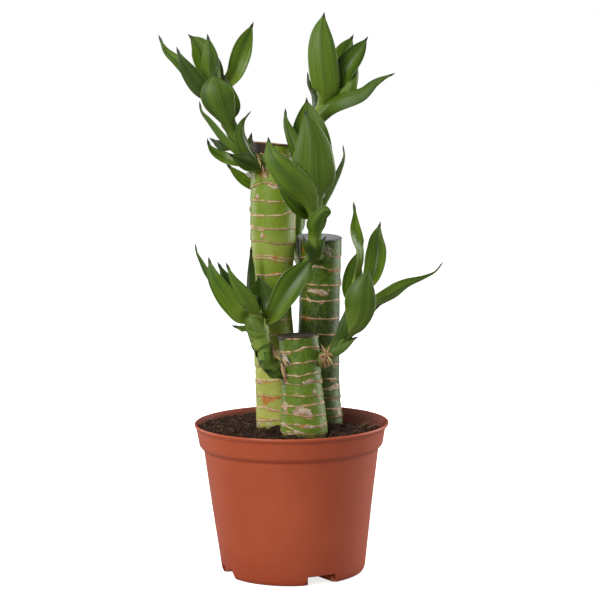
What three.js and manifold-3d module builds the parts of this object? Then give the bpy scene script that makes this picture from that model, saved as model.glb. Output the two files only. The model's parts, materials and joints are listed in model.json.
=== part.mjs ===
// Lucky bamboo in a round grower's pot: three ringed canes of unequal height, cut flat and sealed
// with wax, carry six leafy shoots. Millimetres, +Z up, origin at the middle of the pot's underside,
// and the front of the plant faces -Y.
import * as THREE from "three";
import { mergeVertices } from "three/addons/utils/BufferGeometryUtils.js";
import Module from "manifold-3d";

const wasm = await Module();
wasm.setup();

// Driving dimensions
const RIM_DIAMETER = 120; // a 12 cm pot, measured over its lip
const POT_HEIGHT = 92.7;
const POT_WALL = 1.2;
const POT_SIDES = 32;
const FOOT_RADIUS = 44.2;
const FLOOR_HEIGHT = 3.2; // the floor's underside above the ground
const NOTCHES = { count: 4, first: 23, width: 22, height: 5.8, inner: 37 }; // degrees and millimetres
const SOIL_DEPTH = 5.5; // the soil's mean level below the lip
const CLEARANCE = 0.35; // gap between touching pieces
const SHORTEST_EDGE = 0.01; // a join leaves no shorter one
const CANE_SIDES = 14;
const CANE_BURIED = 36; // length of cane in the soil
const SCAR = { height: 0.55, above: 1.1 }; // the ridge that each fallen leaf left round a cane
const WAX = { top: 1.3, wall: 0.8, lip: 0.25 };
const STEM_SIDES = 8;
const LEAF = {
  thickness: 1.0, // at the midrib
  edge: 0.6, // at the margins
  foot: 2.4, // where the sheath leaves the stem
  tuck: 0.6, // how far in the foot starts, as a share of the stem's radius
  sheath: 6, // length of the sheath along the stem
  clasp: 170, // degrees that the sheath wraps round the stem
  gutter: 46, // degrees that the blade curls up, from margin to margin
  fold: 14, // degrees that each half rises from the midrib
  widest: 0.42, // share of the length at which the blade is widest
  point: 1, // width of the tip
};

// Places on the plant are read off the photograph as picture coordinates, right and down in pixels
// of its 600 x 600 frame, with a depth behind the pot's middle in millimetres. seen() turns one into
// a point in space through the camera that the pot's rim and foot give.
const CAMERA = {
  distance: 1000, // in front of the pot's middle
  height: 265,
  right: 6.2,
  pitch: 5.48, // degrees down
  roll: -0.71,
  focal: 1622, // in pixels
  middle: 300,
};
const eye = new THREE.Vector3(CAMERA.right, -CAMERA.distance, CAMERA.height);
const radians = THREE.MathUtils.degToRad;
const mix = THREE.MathUtils.lerp;
const smooth = THREE.MathUtils.smoothstep;

function seen([across, down, depth]) {
  const turn = radians(CAMERA.roll);
  const pitch = radians(CAMERA.pitch);
  const u = across - CAMERA.middle;
  const v = down - CAMERA.middle;
  const right = (u * Math.cos(turn) + v * Math.sin(turn)) / CAMERA.focal;
  const up = (u * Math.sin(turn) - v * Math.cos(turn)) / CAMERA.focal;
  const forward = Math.cos(pitch) + up * Math.sin(pitch);
  const rise = up * Math.cos(pitch) - Math.sin(pitch);
  const reach = (CAMERA.distance + depth) / forward;
  return new THREE.Vector3(eye.x + reach * right, depth, eye.z + reach * rise);
}

// Straight-line reading of a table of [position, value] pairs in rising order
function between(table, position) {
  const last = table.length - 1;
  if (position <= table[0][0]) return table[0][1];
  if (position >= table[last][0]) return table[last][1];
  const i = table.findIndex(([p]) => p > position);
  const [p0, v0] = table[i - 1];
  const [p1, v1] = table[i];
  return mix(v0, v1, (position - p0) / (p1 - p0));
}

// Solids

// A closed solid from a stack of rings with the same number of points each
function skin(rings) {
  const count = rings[0].length;
  const points = rings.flat();
  const faces = [];
  for (let r = 0; r + 1 < rings.length; r++)
    for (let i = 0; i < count; i++) {
      const a = r * count + i;
      const b = r * count + ((i + 1) % count);
      faces.push(a, b, b + count);
      faces.push(a, b + count, a + count);
    }
  const cap = (ring, first, flip) => {
    const middle = ring.reduce((sum, p) => sum.add(p), new THREE.Vector3()).divideScalar(count);
    points.push(middle);
    for (let i = 0; i < count; i++) {
      const a = first + i;
      const b = first + ((i + 1) % count);
      if (flip) faces.push(points.length - 1, b, a);
      else faces.push(points.length - 1, a, b);
    }
  };
  cap(rings[0], 0, true);
  cap(rings.at(-1), (rings.length - 1) * count, false);
  let volume = 0;
  for (let i = 0; i < faces.length; i += 3) {
    const [a, b, c] = [points[faces[i]], points[faces[i + 1]], points[faces[i + 2]]];
    volume += a.dot(b.clone().cross(c));
  }
  if (volume < 0) faces.reverse();
  const geometry = new THREE.BufferGeometry();
  geometry.setAttribute("position", new THREE.Float32BufferAttribute(points.flatMap((p) => p.toArray()), 3));
  geometry.setIndex(faces);
  return geometry;
}

function solid(geometry) {
  const bare = geometry.clone();
  bare.deleteAttribute("normal");
  bare.deleteAttribute("uv");
  const merged = mergeVertices(bare, 1e-4);
  return new wasm.Manifold(
    new wasm.Mesh({
      numProp: 3,
      vertProperties: merged.attributes.position.array,
      triVerts: new Uint32Array(merged.index.array),
      tolerance: SHORTEST_EDGE,
    }),
  );
}

// The largest body of a solid, without the crumbs that a cut can leave
function largest(made) {
  return made.decompose().sort((a, b) => b.volume() - a.volume())[0];
}

// A named mesh of a solid with a matt to satin, non-metal finish of its own
function meshOf(name, made, { color, roughness }) {
  const { vertProperties, triVerts } = made.getMesh();
  const geometry = new THREE.BufferGeometry();
  geometry.setAttribute("position", new THREE.BufferAttribute(vertProperties, 3));
  geometry.setIndex(new THREE.BufferAttribute(triVerts, 1));
  geometry.computeVertexNormals();
  const mesh = new THREE.Mesh(geometry, new THREE.MeshStandardMaterial({ color, roughness, metalness: 0 }));
  mesh.name = name;
  return mesh;
}

const TERRACOTTA = { color: 0xa9512f, roughness: 0.5 };
const PEAT = { color: 0x2f1d15, roughness: 0.95 };
const CANE_GREEN = { color: 0x7c9440, roughness: 0.45 };
const LEAF_GREEN = { color: 0x3f6a1d, roughness: 0.4 };
const SEALING_WAX = { color: 0x77737a, roughness: 0.5 };

// The pot: one moulded shell with a rolled lip, a deep rim band and a foot ring with drain notches

const wallRadius = (z) => mix(FOOT_RADIUS + 0.3, 54, (z - 1) / 75);
const POT_PROFILE = {
  outside: [
    [9, 0],
    [9.6, FLOOR_HEIGHT],
    [FOOT_RADIUS - 1.8, FLOOR_HEIGHT],
    [FOOT_RADIUS - 1.4, 0],
    [FOOT_RADIUS - 0.2, 0],
    [wallRadius(1), 1],
    [wallRadius(76), 76],
    [57, 80],
    [58.5, 90],
    [RIM_DIAMETER / 2, 91],
    [RIM_DIAMETER / 2 - 0.4, POT_HEIGHT],
  ],
  inside: [
    [58.4, POT_HEIGHT],
    [57.2, 90],
    [55.8, 80.4],
    [wallRadius(76) - POT_WALL, 76.6],
    [wallRadius(6) - POT_WALL, 6],
    [wallRadius(6) - POT_WALL - 1.2, FLOOR_HEIGHT + POT_WALL],
  ],
};

function pot() {
  const outline = [[0, 0], ...POT_PROFILE.outside, ...POT_PROFILE.inside, [0, FLOOR_HEIGHT + POT_WALL]];
  const shell = new THREE.LatheGeometry(
    outline.map(([r, z]) => new THREE.Vector2(r, z)),
    POT_SIDES,
  );
  shell.rotateX(Math.PI / 2);
  let made = solid(shell);
  for (let k = 0; k < NOTCHES.count; k++) {
    made = made.subtract(notch(NOTCHES.first + (k * 360) / NOTCHES.count));
  }
  return made;
}

function notch(towards) {
  const middle = radians(towards - 90);
  const half = radians(NOTCHES.width / 2);
  const sector = new THREE.Shape();
  sector.absarc(0, 0, FOOT_RADIUS + 6, middle - half, middle + half, false);
  sector.absarc(0, 0, NOTCHES.inner, middle + half, middle - half, true);
  const cutter = new THREE.ExtrudeGeometry(sector, {
    depth: NOTCHES.height + 1,
    bevelEnabled: false,
    curveSegments: 4,
  });
  cutter.translate(0, 0, -1);
  return solid(cutter);
}

// The canes: stacks of level rings that follow each cane's lean and thickness, with a ridge at each
// leaf scar. The scars are given as picture rows on the cane's front.

const CANES = {
  tall: {
    depth: 7,
    axis: [[85, -8.2], [105, -8.9], [165, -11.2], [190, -10.3], [228, -9], [266, -8.7]],
    radius: [[85, 13.8], [105, 13.4], [165, 11.9], [190, 12.7], [228, 13.8], [266, 13.6]],
    top: 264.6,
    slant: -0.1,
    skirt: 5,
    scars: [
      168, 184, 200, 215.5, 228.5, 243.5, 258.5, 274.5, 290,
      305, 320, 334.5, 350, 366.5, 380.5, 396.5, 409, 421,
    ],
  },
  middle: {
    depth: 16,
    axis: [[85, 19.2], [111, 17.4], [168, 18.8], [210, 18.9]],
    radius: [[85, 14], [111, 13], [168, 12.4], [196, 13.6], [210, 14]],
    top: 205.6,
    slant: -0.04,
    skirt: 2.4,
    scars: [257, 268, 285, 301, 318, 335, 350, 364, 379, 390, 399, 409, 418],
  },
  short: {
    depth: -19,
    axis: [[85, 7.9], [94, 7.7], [122, 6.4], [150, 4.8]],
    radius: [[85, 14.3], [94, 14.2], [122, 12.4], [150, 12.1]],
    top: 147.8,
    slant: 0.03,
    skirt: 2.2,
    scars: [350, 363, 376, 385, 396.5, 407, 416, 425, 433],
  },
};
const BURIED_TO = POT_HEIGHT - SOIL_DEPTH - CANE_BURIED;

// One level ring of a cane, with its scar's waver and the slant of the cut at its top
function caneRing(cane, z, radius, waver, slant) {
  const ring = [];
  for (let i = 0; i < CANE_SIDES; i++) {
    const a = (i / CANE_SIDES) * 2 * Math.PI;
    const lift = waver * (Math.sin(a + z) + 0.6 * Math.sin(2 * a + 3 * z)) + slant * radius * Math.cos(a);
    const at = new THREE.Vector3(between(cane.axis, z), cane.depth, z + lift);
    ring.push(at.add(new THREE.Vector3(radius * Math.cos(a), radius * Math.sin(a), 0)));
  }
  return ring;
}

// grow makes the same cane thicker all round, for cutting its seat in the soil and in the shoots
function cane(which, grow = 0) {
  const spec = CANES[which];
  const radius = (z) => between(spec.radius, z) + grow;
  const rings = [caneRing(spec, BURIED_TO - grow, radius(BURIED_TO), 0, 0)];
  const shoulder = spec.top - spec.skirt;
  for (const row of [...spec.scars].reverse()) {
    const z = seen([CAMERA.middle, row, spec.depth - spec.radius[0][1]]).z;
    rings.push(caneRing(spec, z, radius(z) + SCAR.height, 0.45, 0));
    rings.push(caneRing(spec, z + SCAR.above, radius(z), 0.45, 0));
  }
  rings.push(caneRing(spec, shoulder - 0.4, radius(shoulder), 0, spec.slant));
  rings.push(caneRing(spec, shoulder, radius(shoulder) - WAX.wall, 0, spec.slant));
  rings.push(caneRing(spec, spec.top + grow, radius(spec.top) - WAX.wall, 0, spec.slant));
  return solid(skin(rings));
}

// The wax that seals each cut: a shallow cap over the cane's end
function waxSeal(which) {
  const spec = CANES[which];
  const radius = (z) => between(spec.radius, z) + WAX.lip;
  const low = spec.top - spec.skirt + CLEARANCE;
  const rim = spec.top + WAX.top - 0.5;
  const outside = solid(
    skin([
      caneRing(spec, low, radius(low) - 0.4, 0, spec.slant),
      caneRing(spec, low + 0.8, radius(low), 0, spec.slant),
      caneRing(spec, rim, radius(rim), 0, spec.slant),
      caneRing(spec, spec.top + WAX.top, radius(rim) - 0.8, 0, spec.slant),
    ]),
  );
  return outside.subtract(cane(which, CLEARANCE));
}

// The shoots: curved stems with leaves that clasp them. A stem's radius is given against the share
// of its length. A leaf tells where on the stem it grows, as a share of the stem's length, its
// greatest width, and how its upper face is turned along its length, in degrees: 0 faces the viewer,
// 90 is edge on and 180 shows the underside. Its midrib runs along the points given, to its tip.

const SHOOTS = {
  shoot_tall_left: {
    cane: "tall",
    stem: [
      [262, 168, 3], [254, 163, -6], [246, 153, -11], [239, 142, -12],
      [233, 130, -13], [228, 118, -13], [223, 106, -12], [218, 95, -11],
      [214, 84, -10],
    ],
    radius: [[0, 4.8], [0.3, 4.8], [0.7, 4.4], [1, 1.6]],
    leaves: [
      { at: 0.1, width: 12, face: [180, 165], along: [[240, 159, -22], [228, 153.5, -26]] },
      {
        at: 0.14, width: 9, face: [60, 20], blunt: 6,
        along: [[236, 163, -12], [223, 157, -10], [214, 151, -10], [209, 146.5, -10]],
      },
      { at: 0.3, width: 8, face: [10, 10], along: [[221, 145, -2], [209.5, 138, 2]] },
      {
        at: 0.22, width: 8, face: [200, 262],
        along: [[243, 137, -20], [243, 123, -19], [251, 111, -18]],
      },
      {
        at: 0.36, width: 9, face: [120, 130],
        along: [[222, 137, -14], [210, 119, -13], [203, 110, -12], [199.5, 101, -12]],
      },
      {
        at: 0.52, width: 21.5, widest: 0.58, face: [180, 180],
        along: [[225, 113, -26], [218, 97, -30], [215.5, 85, -29], [216, 72, -24]],
      },
      { at: 0.56, width: 9.5, face: [60, 30], along: [[233, 108, -8], [230, 92, -5], [222.5, 73, -6]] },
      {
        at: 0.68, width: 11, face: [60, 40],
        along: [[193, 83, -4], [176, 62, 0], [165, 50, 3], [158.5, 35, 4]],
      },
      {
        at: 0.72, width: 14, widest: 0.5, face: [165, 150],
        along: [[201, 90, -22], [190, 74, -24], [182, 60, -25], [176.5, 47, -24]],
      },
      {
        at: 0.8, width: 16, widest: 0.68, face: [0, 8],
        along: [[209, 80, 2], [204, 62, 5], [198, 45, 7], [188, 33.5, 8]],
      },
      {
        at: 0.84, width: 13.5, face: [180, 180], fold: 30,
        along: [[211, 73, -14], [210, 55, -15], [207.5, 34, -12]],
      },
      { at: 0.88, width: 9.5, face: [0, 0], along: [[217, 72, -2], [214, 49, -1]] },
      {
        at: 0.82, width: 12, widest: 0.6, face: [0, 12],
        along: [[235, 74, 1], [241, 58, 3], [246, 42, 5], [253.5, 22, 6]],
      },
    ],
  },
  shoot_tall_back: {
    cane: "tall",
    stem: [
      [266, 194, 14], [260, 186, 23], [256, 176, 28], [255, 164, 31],
      [257, 153, 31],
    ],
    radius: [[0, 4.6], [0.5, 4], [1, 1.5]],
    leaves: [
      { at: 0.28, width: 8.2, face: [40, 20], along: [[243, 179, 27], [226, 163.5, 24]] },
      { at: 0.75, width: 6, face: [0, 0], along: [[251, 145, 34], [250.5, 132, 35]] },
      { at: 0.4, width: 11, face: [90, 60], along: [[276, 174, 48], [290, 167, 62]] },
      { at: 0.6, width: 11, face: [60, 60], along: [[262, 164, 48], [268, 156, 66]] },
    ],
  },
  shoot_middle_back: {
    cane: "middle",
    stem: [
      [305, 268, 20], [299, 256, 33], [297, 240, 38], [297.5, 222, 39],
      [300, 204, 38], [304, 184, 36], [308, 162, 34], [313, 140, 32],
      [318, 121, 30], [322, 107, 29], [326, 95, 29], [329, 83, 29],
    ],
    radius: [[0, 4.6], [0.2, 4.3], [0.8, 4.3], [1, 1.6]],
    leaves: [
      { at: 0.2, width: 11, face: [70, 60], along: [[300, 226, 52], [306, 212, 64]] },
      { at: 0.42, width: 13, face: [20, 30], along: [[310, 176, 50], [316, 158, 62]] },
      { at: 0.56, width: 11, face: [0, 0], along: [[303, 150, 42], [303, 130, 46]] },
      {
        at: 0.78, width: 13, face: [180, 140, 125, 130],
        along: [[331, 106, 18], [345, 99, 15], [360, 95, 14], [374, 85, 15], [395, 72.5, 18]],
      },
      { at: 0.8, width: 8, face: [60, 50], along: [[313, 96, 34], [308.5, 84, 36], [307.5, 72, 38]] },
      {
        at: 0.85, width: 19.5, face: [180, 180], gutter: 60,
        along: [[326, 92, 18], [323.5, 68, 14], [321.5, 45, 14], [321.5, 30, 16], [324.5, 11.5, 20]],
      },
      {
        at: 0.88, width: 18, widest: 0.55, face: [0, 0],
        along: [[340, 92, 38], [346, 72, 42], [346, 52, 45], [353.5, 33.5, 48]],
      },
      {
        at: 0.9, width: 15.5, widest: 0.6, face: [-20, -20], fold: 24,
        along: [[339, 86, 26], [346, 70, 24], [356, 55, 25], [368, 36.5, 28]],
      },
      { at: 0.9, width: 13, face: [0, 0], along: [[324, 60, 48], [321, 32, 54]] },
    ],
  },
  shoot_middle_front: {
    cane: "middle",
    stem: [
      [316, 260, 8], [315, 252, -2], [314.5, 243, -8], [315, 232, -11],
      [315.5, 220, -12], [316, 208, -12], [316, 197, -11],
    ],
    radius: [[0, 4.6], [0.3, 4.6], [0.8, 4.2], [1, 1.6]],
    leaves: [
      { at: 0.2, width: 8, face: [150, 150], along: [[306, 245, -15], [303, 236, -14]] },
      { at: 0.24, width: 8, face: [220, 220], along: [[322, 245, -12], [326, 236, -10]] },
      {
        at: 0.5, width: 9, face: [190, 200], blunt: 4,
        along: [[318, 221, -22], [324, 213, -24], [331, 211.5, -24]],
      },
      { at: 0.62, width: 11, face: [30, 10], along: [[297, 207, -17], [276, 181, -15]] },
      {
        at: 0.66, width: 16.5, widest: 0.5, face: [170, 175], gutter: 60,
        along: [[300, 193, -24], [286, 177, -28], [274, 160, -28], [268, 137, -24]],
      },
      {
        at: 0.74, width: 8, face: [255, 262],
        along: [[334, 187, -12], [341, 171, -11], [344.5, 157, -11], [343, 145, -12]],
      },
      {
        at: 0.74, width: 28, face: [180, 180], gutter: 60,
        along: [[315, 192, -26], [313.5, 170, -30], [312.5, 148, -28], [308.5, 125, -24], [304, 110, -20]],
      },
      {
        at: 0.8, width: 11, face: [150, 150], fold: 26,
        along: [[299, 160, -10], [290, 135, -8], [286, 121, -8], [285.5, 108, -8]],
      },
      {
        at: 0.82, width: 25, widest: 0.48, face: [0, 0],
        along: [[314, 172, -3], [310, 145, 0], [308, 122, 1], [306.5, 96.5, 2]],
      },
    ],
  },
  shoot_short_left: {
    cane: "short",
    stem: [
      [286, 371, -20], [278, 371, -24], [270.5, 366, -28], [265.5, 357, -30],
      [263, 347, -30], [260, 337, -30], [257, 326, -29], [255, 315, -28],
      [254, 304, -27],
    ],
    radius: [[0, 4.2], [0.25, 5], [0.4, 5.2], [0.8, 4.6], [1, 1.6]],
    leaves: [
      { at: 0.08, width: 9, face: [190, 190], along: [[271, 370, -34], [265, 360, -36]] },
      { at: 0.4, width: 4, face: [100, 100], along: [[254.5, 349, -30], [251, 345.5, -30]] },
      { at: 0.3, width: 8, face: [250, 250], along: [[270, 346, -30], [269, 333, -30]] },
      { at: 0.5, width: 15, face: [180, 180], along: [[255.5, 325, -37], [255, 305, -37]] },
      { at: 0.5, width: 5, face: [60, 30], along: [[245, 329.5, -28], [231.5, 325.5, -27]] },
      {
        at: 0.68, width: 8, face: [110, 108],
        along: [[235, 310, -24], [208, 275, -20], [203, 263, -19], [195.5, 243.5, -18]],
      },
      {
        at: 0.7, width: 14, widest: 0.55, face: [-20, -10],
        along: [[238, 311, -36], [226, 292, -38], [217.5, 275, -38], [208.5, 257, -36]],
      },
      { at: 0.75, width: 11, face: [0, 0], along: [[236, 296, -26], [217.5, 262, -24]] },
      {
        at: 0.78, width: 9.5, face: [150, 140],
        along: [[249, 311, -36], [241, 293, -42], [231.5, 279, -43], [226, 262.5, -42]],
      },
      {
        at: 0.84, width: 14, widest: 0.6, face: [0, 0],
        along: [[262, 306, -18], [260.5, 292, -17], [258, 275, -17]],
      },
      {
        at: 0.72, width: 16.5, widest: 0.6, face: [-10, 0],
        along: [[272, 311, -28], [280, 298, -29], [290, 281, -30], [301, 268, -29], [311, 259, -28]],
      },
      {
        at: 0.84, width: 8, face: [40, 40], fold: 26,
        along: [[249.5, 288, -15], [250, 268, -13], [251, 246, -13]],
      },
    ],
  },
  shoot_short_right: {
    cane: "short",
    stem: [
      [316, 363, -20], [325, 358, -22], [333, 351, -24], [340, 341, -25],
      [345.5, 329, -26], [349.5, 317, -27], [353, 304, -28], [356, 292, -28],
      [358, 281, -28],
    ],
    radius: [[0, 4.6], [0.4, 4.5], [0.8, 4], [1, 1.6]],
    leaves: [
      { at: 0.14, width: 10, face: [160, 150], along: [[345, 343, -29], [358.5, 336.5, -29]] },
      { at: 0.3, width: 8, face: [110, 100], along: [[344, 320, -26], [348, 304, -26]] },
      { at: 0.34, width: 6, face: [240, 240], along: [[363, 323, -26], [381.5, 303.5, -24]] },
      {
        at: 0.32, width: 19.5, widest: 0.6, face: [180, 180], gutter: 60,
        along: [[355, 322, -37], [360, 308, -41], [361, 293, -42], [366, 279, -40], [370, 270.5, -38]],
      },
      {
        at: 0.55, width: 12, face: [215, 215, 230, 255, 262],
        along: [[378, 299, -20], [404, 285.5, -17], [421, 278, -14], [433, 271, -13], [443, 261.5, -12]],
      },
      { at: 0.62, width: 13, face: [0, 0], along: [[354, 282, -16], [356, 266, -14], [361, 248, -12]] },
      {
        at: 0.75, width: 13.5, widest: 0.58, face: [-10, -10], fold: 24,
        along: [[372, 276, -18], [377, 252, -14], [377, 238, -13], [380.5, 221.5, -12]],
      },
      {
        at: 0.88, width: 9.5, widest: 0.62, face: [60, 70, 76, 10, 40],
        along: [[359.5, 258, -30], [358, 240, -31], [356.5, 228, -30], [354.5, 212, -30], [353.5, 202, -29]],
      },
    ],
  },
};

// The share along a leaf at which its outline and section are worked out
const ROWS_LONG = [0, 0.1, 0.26, 0.48, 0.7, 0.89, 1];
const ROWS_SHORT = [0, 0.25, 0.6, 1];
const SHORT_LEAF = 22;
const SIDE_STEPS = 2;

// The direction that leads from a point to the viewer, square to a leaf's midrib
function towardsViewer(at, along) {
  const view = eye.clone().sub(at);
  return view.addScaledVector(along, -view.dot(along)).normalize();
}

function turnedFace(at, along, degrees) {
  return towardsViewer(at, along).applyAxisAngle(along, radians(degrees));
}

// Half of a leaf's section, from the midrib to the margin: steps across, rise and lean
function halfSection(half, curl, fold) {
  const steps = [{ across: 0, rise: 0, lean: 0 }];
  for (let i = 1; i <= SIDE_STEPS; i++) {
    const lean = fold + (curl / 2) * ((i - 0.5) / SIDE_STEPS);
    const last = steps.at(-1);
    steps.push({
      across: last.across + (half / SIDE_STEPS) * Math.cos(lean),
      rise: last.rise + (half / SIDE_STEPS) * Math.sin(lean),
      lean: fold + (curl / 2) * (i / SIDE_STEPS),
    });
  }
  return steps;
}

// Half the width of the blade: a neck above the sheath, widest before the middle, a drawn-out point
function bladeHalf(share, { width, widest = LEAF.widest, blunt = LEAF.point }) {
  const swell = mix(0.56, 1, smooth(share, 0.04, widest));
  const taper = 1 - Math.max(0, (share - widest) / (1 - widest)) ** 2.1;
  return Math.max(width * swell * taper, blunt) / 2;
}

function leaf(stem, spec) {
  const root = stem.curve.getPointAt(spec.at);
  const up = stem.curve.getTangentAt(spec.at);
  const thick = between(stem.radius, spec.at) + 0.3;
  const inward = turnedFace(root, up, spec.face[0]);
  const foot = root.clone().addScaledVector(inward, -thick * LEAF.tuck);
  const collar = root.clone().addScaledVector(inward, -thick - 0.4).addScaledVector(up, LEAF.sheath);
  const midrib = new THREE.CatmullRomCurve3([foot, collar, ...spec.along.map(seen)], false, "centripetal");
  const rows = midrib.getLength() < SHORT_LEAF ? ROWS_SHORT : ROWS_LONG;
  const clasp = radians(LEAF.clasp);
  const gutter = radians(spec.gutter ?? LEAF.gutter);
  const fold = radians(spec.fold ?? LEAF.fold);
  const rings = rows.map((share) => {
    const at = midrib.getPointAt(share);
    const along = midrib.getTangentAt(share);
    const turn = share * (spec.face.length - 1);
    const step = Math.min(Math.floor(turn), spec.face.length - 2);
    const face = turnedFace(at, along, mix(spec.face[step], spec.face[step + 1], turn - step));
    const side = along.clone().cross(face);
    const opened = smooth(share, 0, 0.3);
    const wrap = (thick * mix(LEAF.tuck, 1, smooth(share, 0, 0.08)) * clasp) / 2;
    const half = mix(wrap, bladeHalf(share, spec), smooth(share, 0, 0.22));
    const curl = mix(clasp, gutter * (1 - 0.6 * share), opened);
    const thickness = mix(LEAF.foot, LEAF.thickness, smooth(share, 0, 0.2));
    const section = halfSection(half, curl, fold * opened * (1 - 0.5 * share));
    const shell = (sign, stride) => {
      const row = [];
      for (let i = -SIDE_STEPS; i <= SIDE_STEPS; i += stride) {
        const { across, rise, lean } = section[Math.abs(i)];
        const hand = Math.sign(i);
        const width = Math.abs(i) / SIDE_STEPS;
        const depth = (sign * mix(thickness, LEAF.edge, width)) / 2;
        const point = at.clone().addScaledVector(side, hand * (across - depth * Math.sin(lean)));
        row.push(point.addScaledVector(face, rise + depth * Math.cos(lean)));
      }
      return row;
    };
    return [...shell(1, SIDE_STEPS), ...shell(-1, 1).reverse()];
  });
  return solid(skin(rings));
}

function stemSolid(stem, samples) {
  const rings = [];
  for (let k = 0; k <= samples; k++) {
    const share = k / samples;
    const at = stem.curve.getPointAt(share);
    const along = stem.curve.getTangentAt(share);
    const face = towardsViewer(at, along);
    const side = along.clone().cross(face);
    const radius = between(stem.radius, share);
    const ring = [];
    for (let i = 0; i < STEM_SIDES; i++) {
      const a = (i / STEM_SIDES) * 2 * Math.PI;
      const point = at.clone().addScaledVector(face, radius * Math.cos(a));
      ring.push(point.addScaledVector(side, radius * Math.sin(a)));
    }
    rings.push(ring);
  }
  return solid(skin(rings));
}

// A shoot is one body: its leaves are sunk into its stem, and its foot is cut to the cane it grew on
function shoot(spec) {
  const stem = {
    curve: new THREE.CatmullRomCurve3(spec.stem.map(seen), false, "centripetal"),
    radius: spec.radius,
  };
  let made = stemSolid(stem, spec.stem.length);
  for (const each of spec.leaves) made = made.add(leaf(stem, each));
  return largest(made.subtract(cane(spec.cane, CLEARANCE)));
}

// The soil: fills the pot, heaped and lumpy on top, with a plain hole for each cane

function soilLevel(x, y) {
  const heap = 1.6 * Math.exp(-((x + 30) ** 2 + (y - 14) ** 2) / 500);
  const dip = 2.6 * Math.exp(-((x - 40) ** 2 + (y - 22) ** 2) / 400);
  const waves = 0.7 * Math.sin(x * 0.41 + y * 0.17) + 0.6 * Math.sin(y * 0.53 - x * 0.22);
  const lumps = 0.4 * Math.sin(x * 0.9) * Math.sin(y * 0.8);
  return POT_HEIGHT - SOIL_DEPTH + heap - dip + waves + lumps;
}

function soil() {
  const gap = CLEARANCE + 0.05;
  const low = FLOOR_HEIGHT + POT_WALL + gap;
  const ringAt = (r, height) => {
    const ring = [];
    for (let i = 0; i < POT_SIDES; i++) {
      const a = (i / POT_SIDES) * 2 * Math.PI;
      const [x, y] = [r * Math.cos(a), r * Math.sin(a)];
      ring.push(new THREE.Vector3(x, y, height ?? soilLevel(x, y)));
    }
    return ring;
  };
  const [, , band, step, corner, floor] = POT_PROFILE.inside;
  const edge = band[0] + 0.5 - gap;
  const rings = [
    ringAt(floor[0] - gap, low),
    ringAt(corner[0] - gap, corner[1] + 0.2),
    ringAt(step[0] - gap, step[1]),
    ringAt(band[0] - gap, band[1] + 0.2),
    ringAt(edge),
  ];
  for (const share of [0.86, 0.7, 0.54, 0.36, 0.16]) rings.push(ringAt(edge * share));
  let made = solid(skin(rings));
  for (const which of Object.keys(CANES)) made = made.subtract(cane(which, CLEARANCE));
  return largest(made);
}

const plant = new THREE.Group();
plant.add(meshOf("pot", pot(), TERRACOTTA), meshOf("soil", soil(), PEAT));
for (const which of Object.keys(CANES)) {
  plant.add(meshOf(`cane_${which}`, cane(which), CANE_GREEN));
  plant.add(meshOf(`wax_seal_${which}`, waxSeal(which), SEALING_WAX));
}
for (const [name, spec] of Object.entries(SHOOTS)) plant.add(meshOf(name, shoot(spec), LEAF_GREEN));

export default plant;
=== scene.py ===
# %% [markdown]
# # A lucky bamboo in a grower's pot
#
# Three ringed canes of unequal height stand in a thin plastic pot. Each was cut flat and sealed with
# wax, and has thrown side shoots with pointed, glossy leaves.
#
# The solids of the plant are already made and packed. This lesson dresses them: every solid is
# replaced by a finer mesh of the same form, in the same place, and each gets a material built from
# nodes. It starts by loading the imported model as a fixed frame, which nothing here may move.

# %% Load the frame
import itertools
import json
import math

import bmesh
import bpy
import numpy as np
from mathutils import Matrix, Vector, noise

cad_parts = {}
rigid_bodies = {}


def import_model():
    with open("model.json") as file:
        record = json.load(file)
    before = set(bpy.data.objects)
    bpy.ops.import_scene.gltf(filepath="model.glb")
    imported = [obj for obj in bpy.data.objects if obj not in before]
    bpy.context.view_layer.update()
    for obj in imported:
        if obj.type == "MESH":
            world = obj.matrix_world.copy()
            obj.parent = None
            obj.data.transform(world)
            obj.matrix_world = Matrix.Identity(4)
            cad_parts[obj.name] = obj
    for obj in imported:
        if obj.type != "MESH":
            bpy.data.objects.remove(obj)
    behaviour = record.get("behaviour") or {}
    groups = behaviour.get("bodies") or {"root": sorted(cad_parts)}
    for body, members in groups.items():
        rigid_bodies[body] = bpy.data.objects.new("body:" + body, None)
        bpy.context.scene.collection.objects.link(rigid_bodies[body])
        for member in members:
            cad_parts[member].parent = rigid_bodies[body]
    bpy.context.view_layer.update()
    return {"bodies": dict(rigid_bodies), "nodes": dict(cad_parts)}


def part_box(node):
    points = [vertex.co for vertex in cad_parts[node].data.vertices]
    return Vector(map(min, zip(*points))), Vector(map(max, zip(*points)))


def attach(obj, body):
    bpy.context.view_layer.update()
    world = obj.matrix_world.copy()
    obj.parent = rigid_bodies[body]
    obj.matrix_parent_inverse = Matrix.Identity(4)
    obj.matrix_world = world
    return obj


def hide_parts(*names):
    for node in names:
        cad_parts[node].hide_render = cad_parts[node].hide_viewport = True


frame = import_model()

BODY = next(iter(frame["bodies"]))
print("body", BODY, "with", len(frame["nodes"]), "nodes")

# %% [markdown]
# ## The camera
#
# A studio photograph of a plant is taken from a few steps away with a long lens, looking slightly
# down. The camera could be placed by eye, but then every leaf would have to be placed by eye too.
# It was worked out from the ellipses of the pot's rim and foot instead. So a place in the picture,
# in pixels of its 600 x 600 frame, becomes a point in space as soon as its depth is known, and the
# function `seen` does that. Tables of places are in millimetres and pixels, and meshes are turned
# into metres when they are made.

# %% The camera and its picture
MM = 0.001
PICTURE = 600  # pixels across and down
FOCAL = 1622  # in pixels
SENSOR = 36.0
EYE = np.array([6.2, -1000.0, 265.0])
PITCH = math.radians(5.48)
ROLL = math.radians(-0.71)

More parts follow.
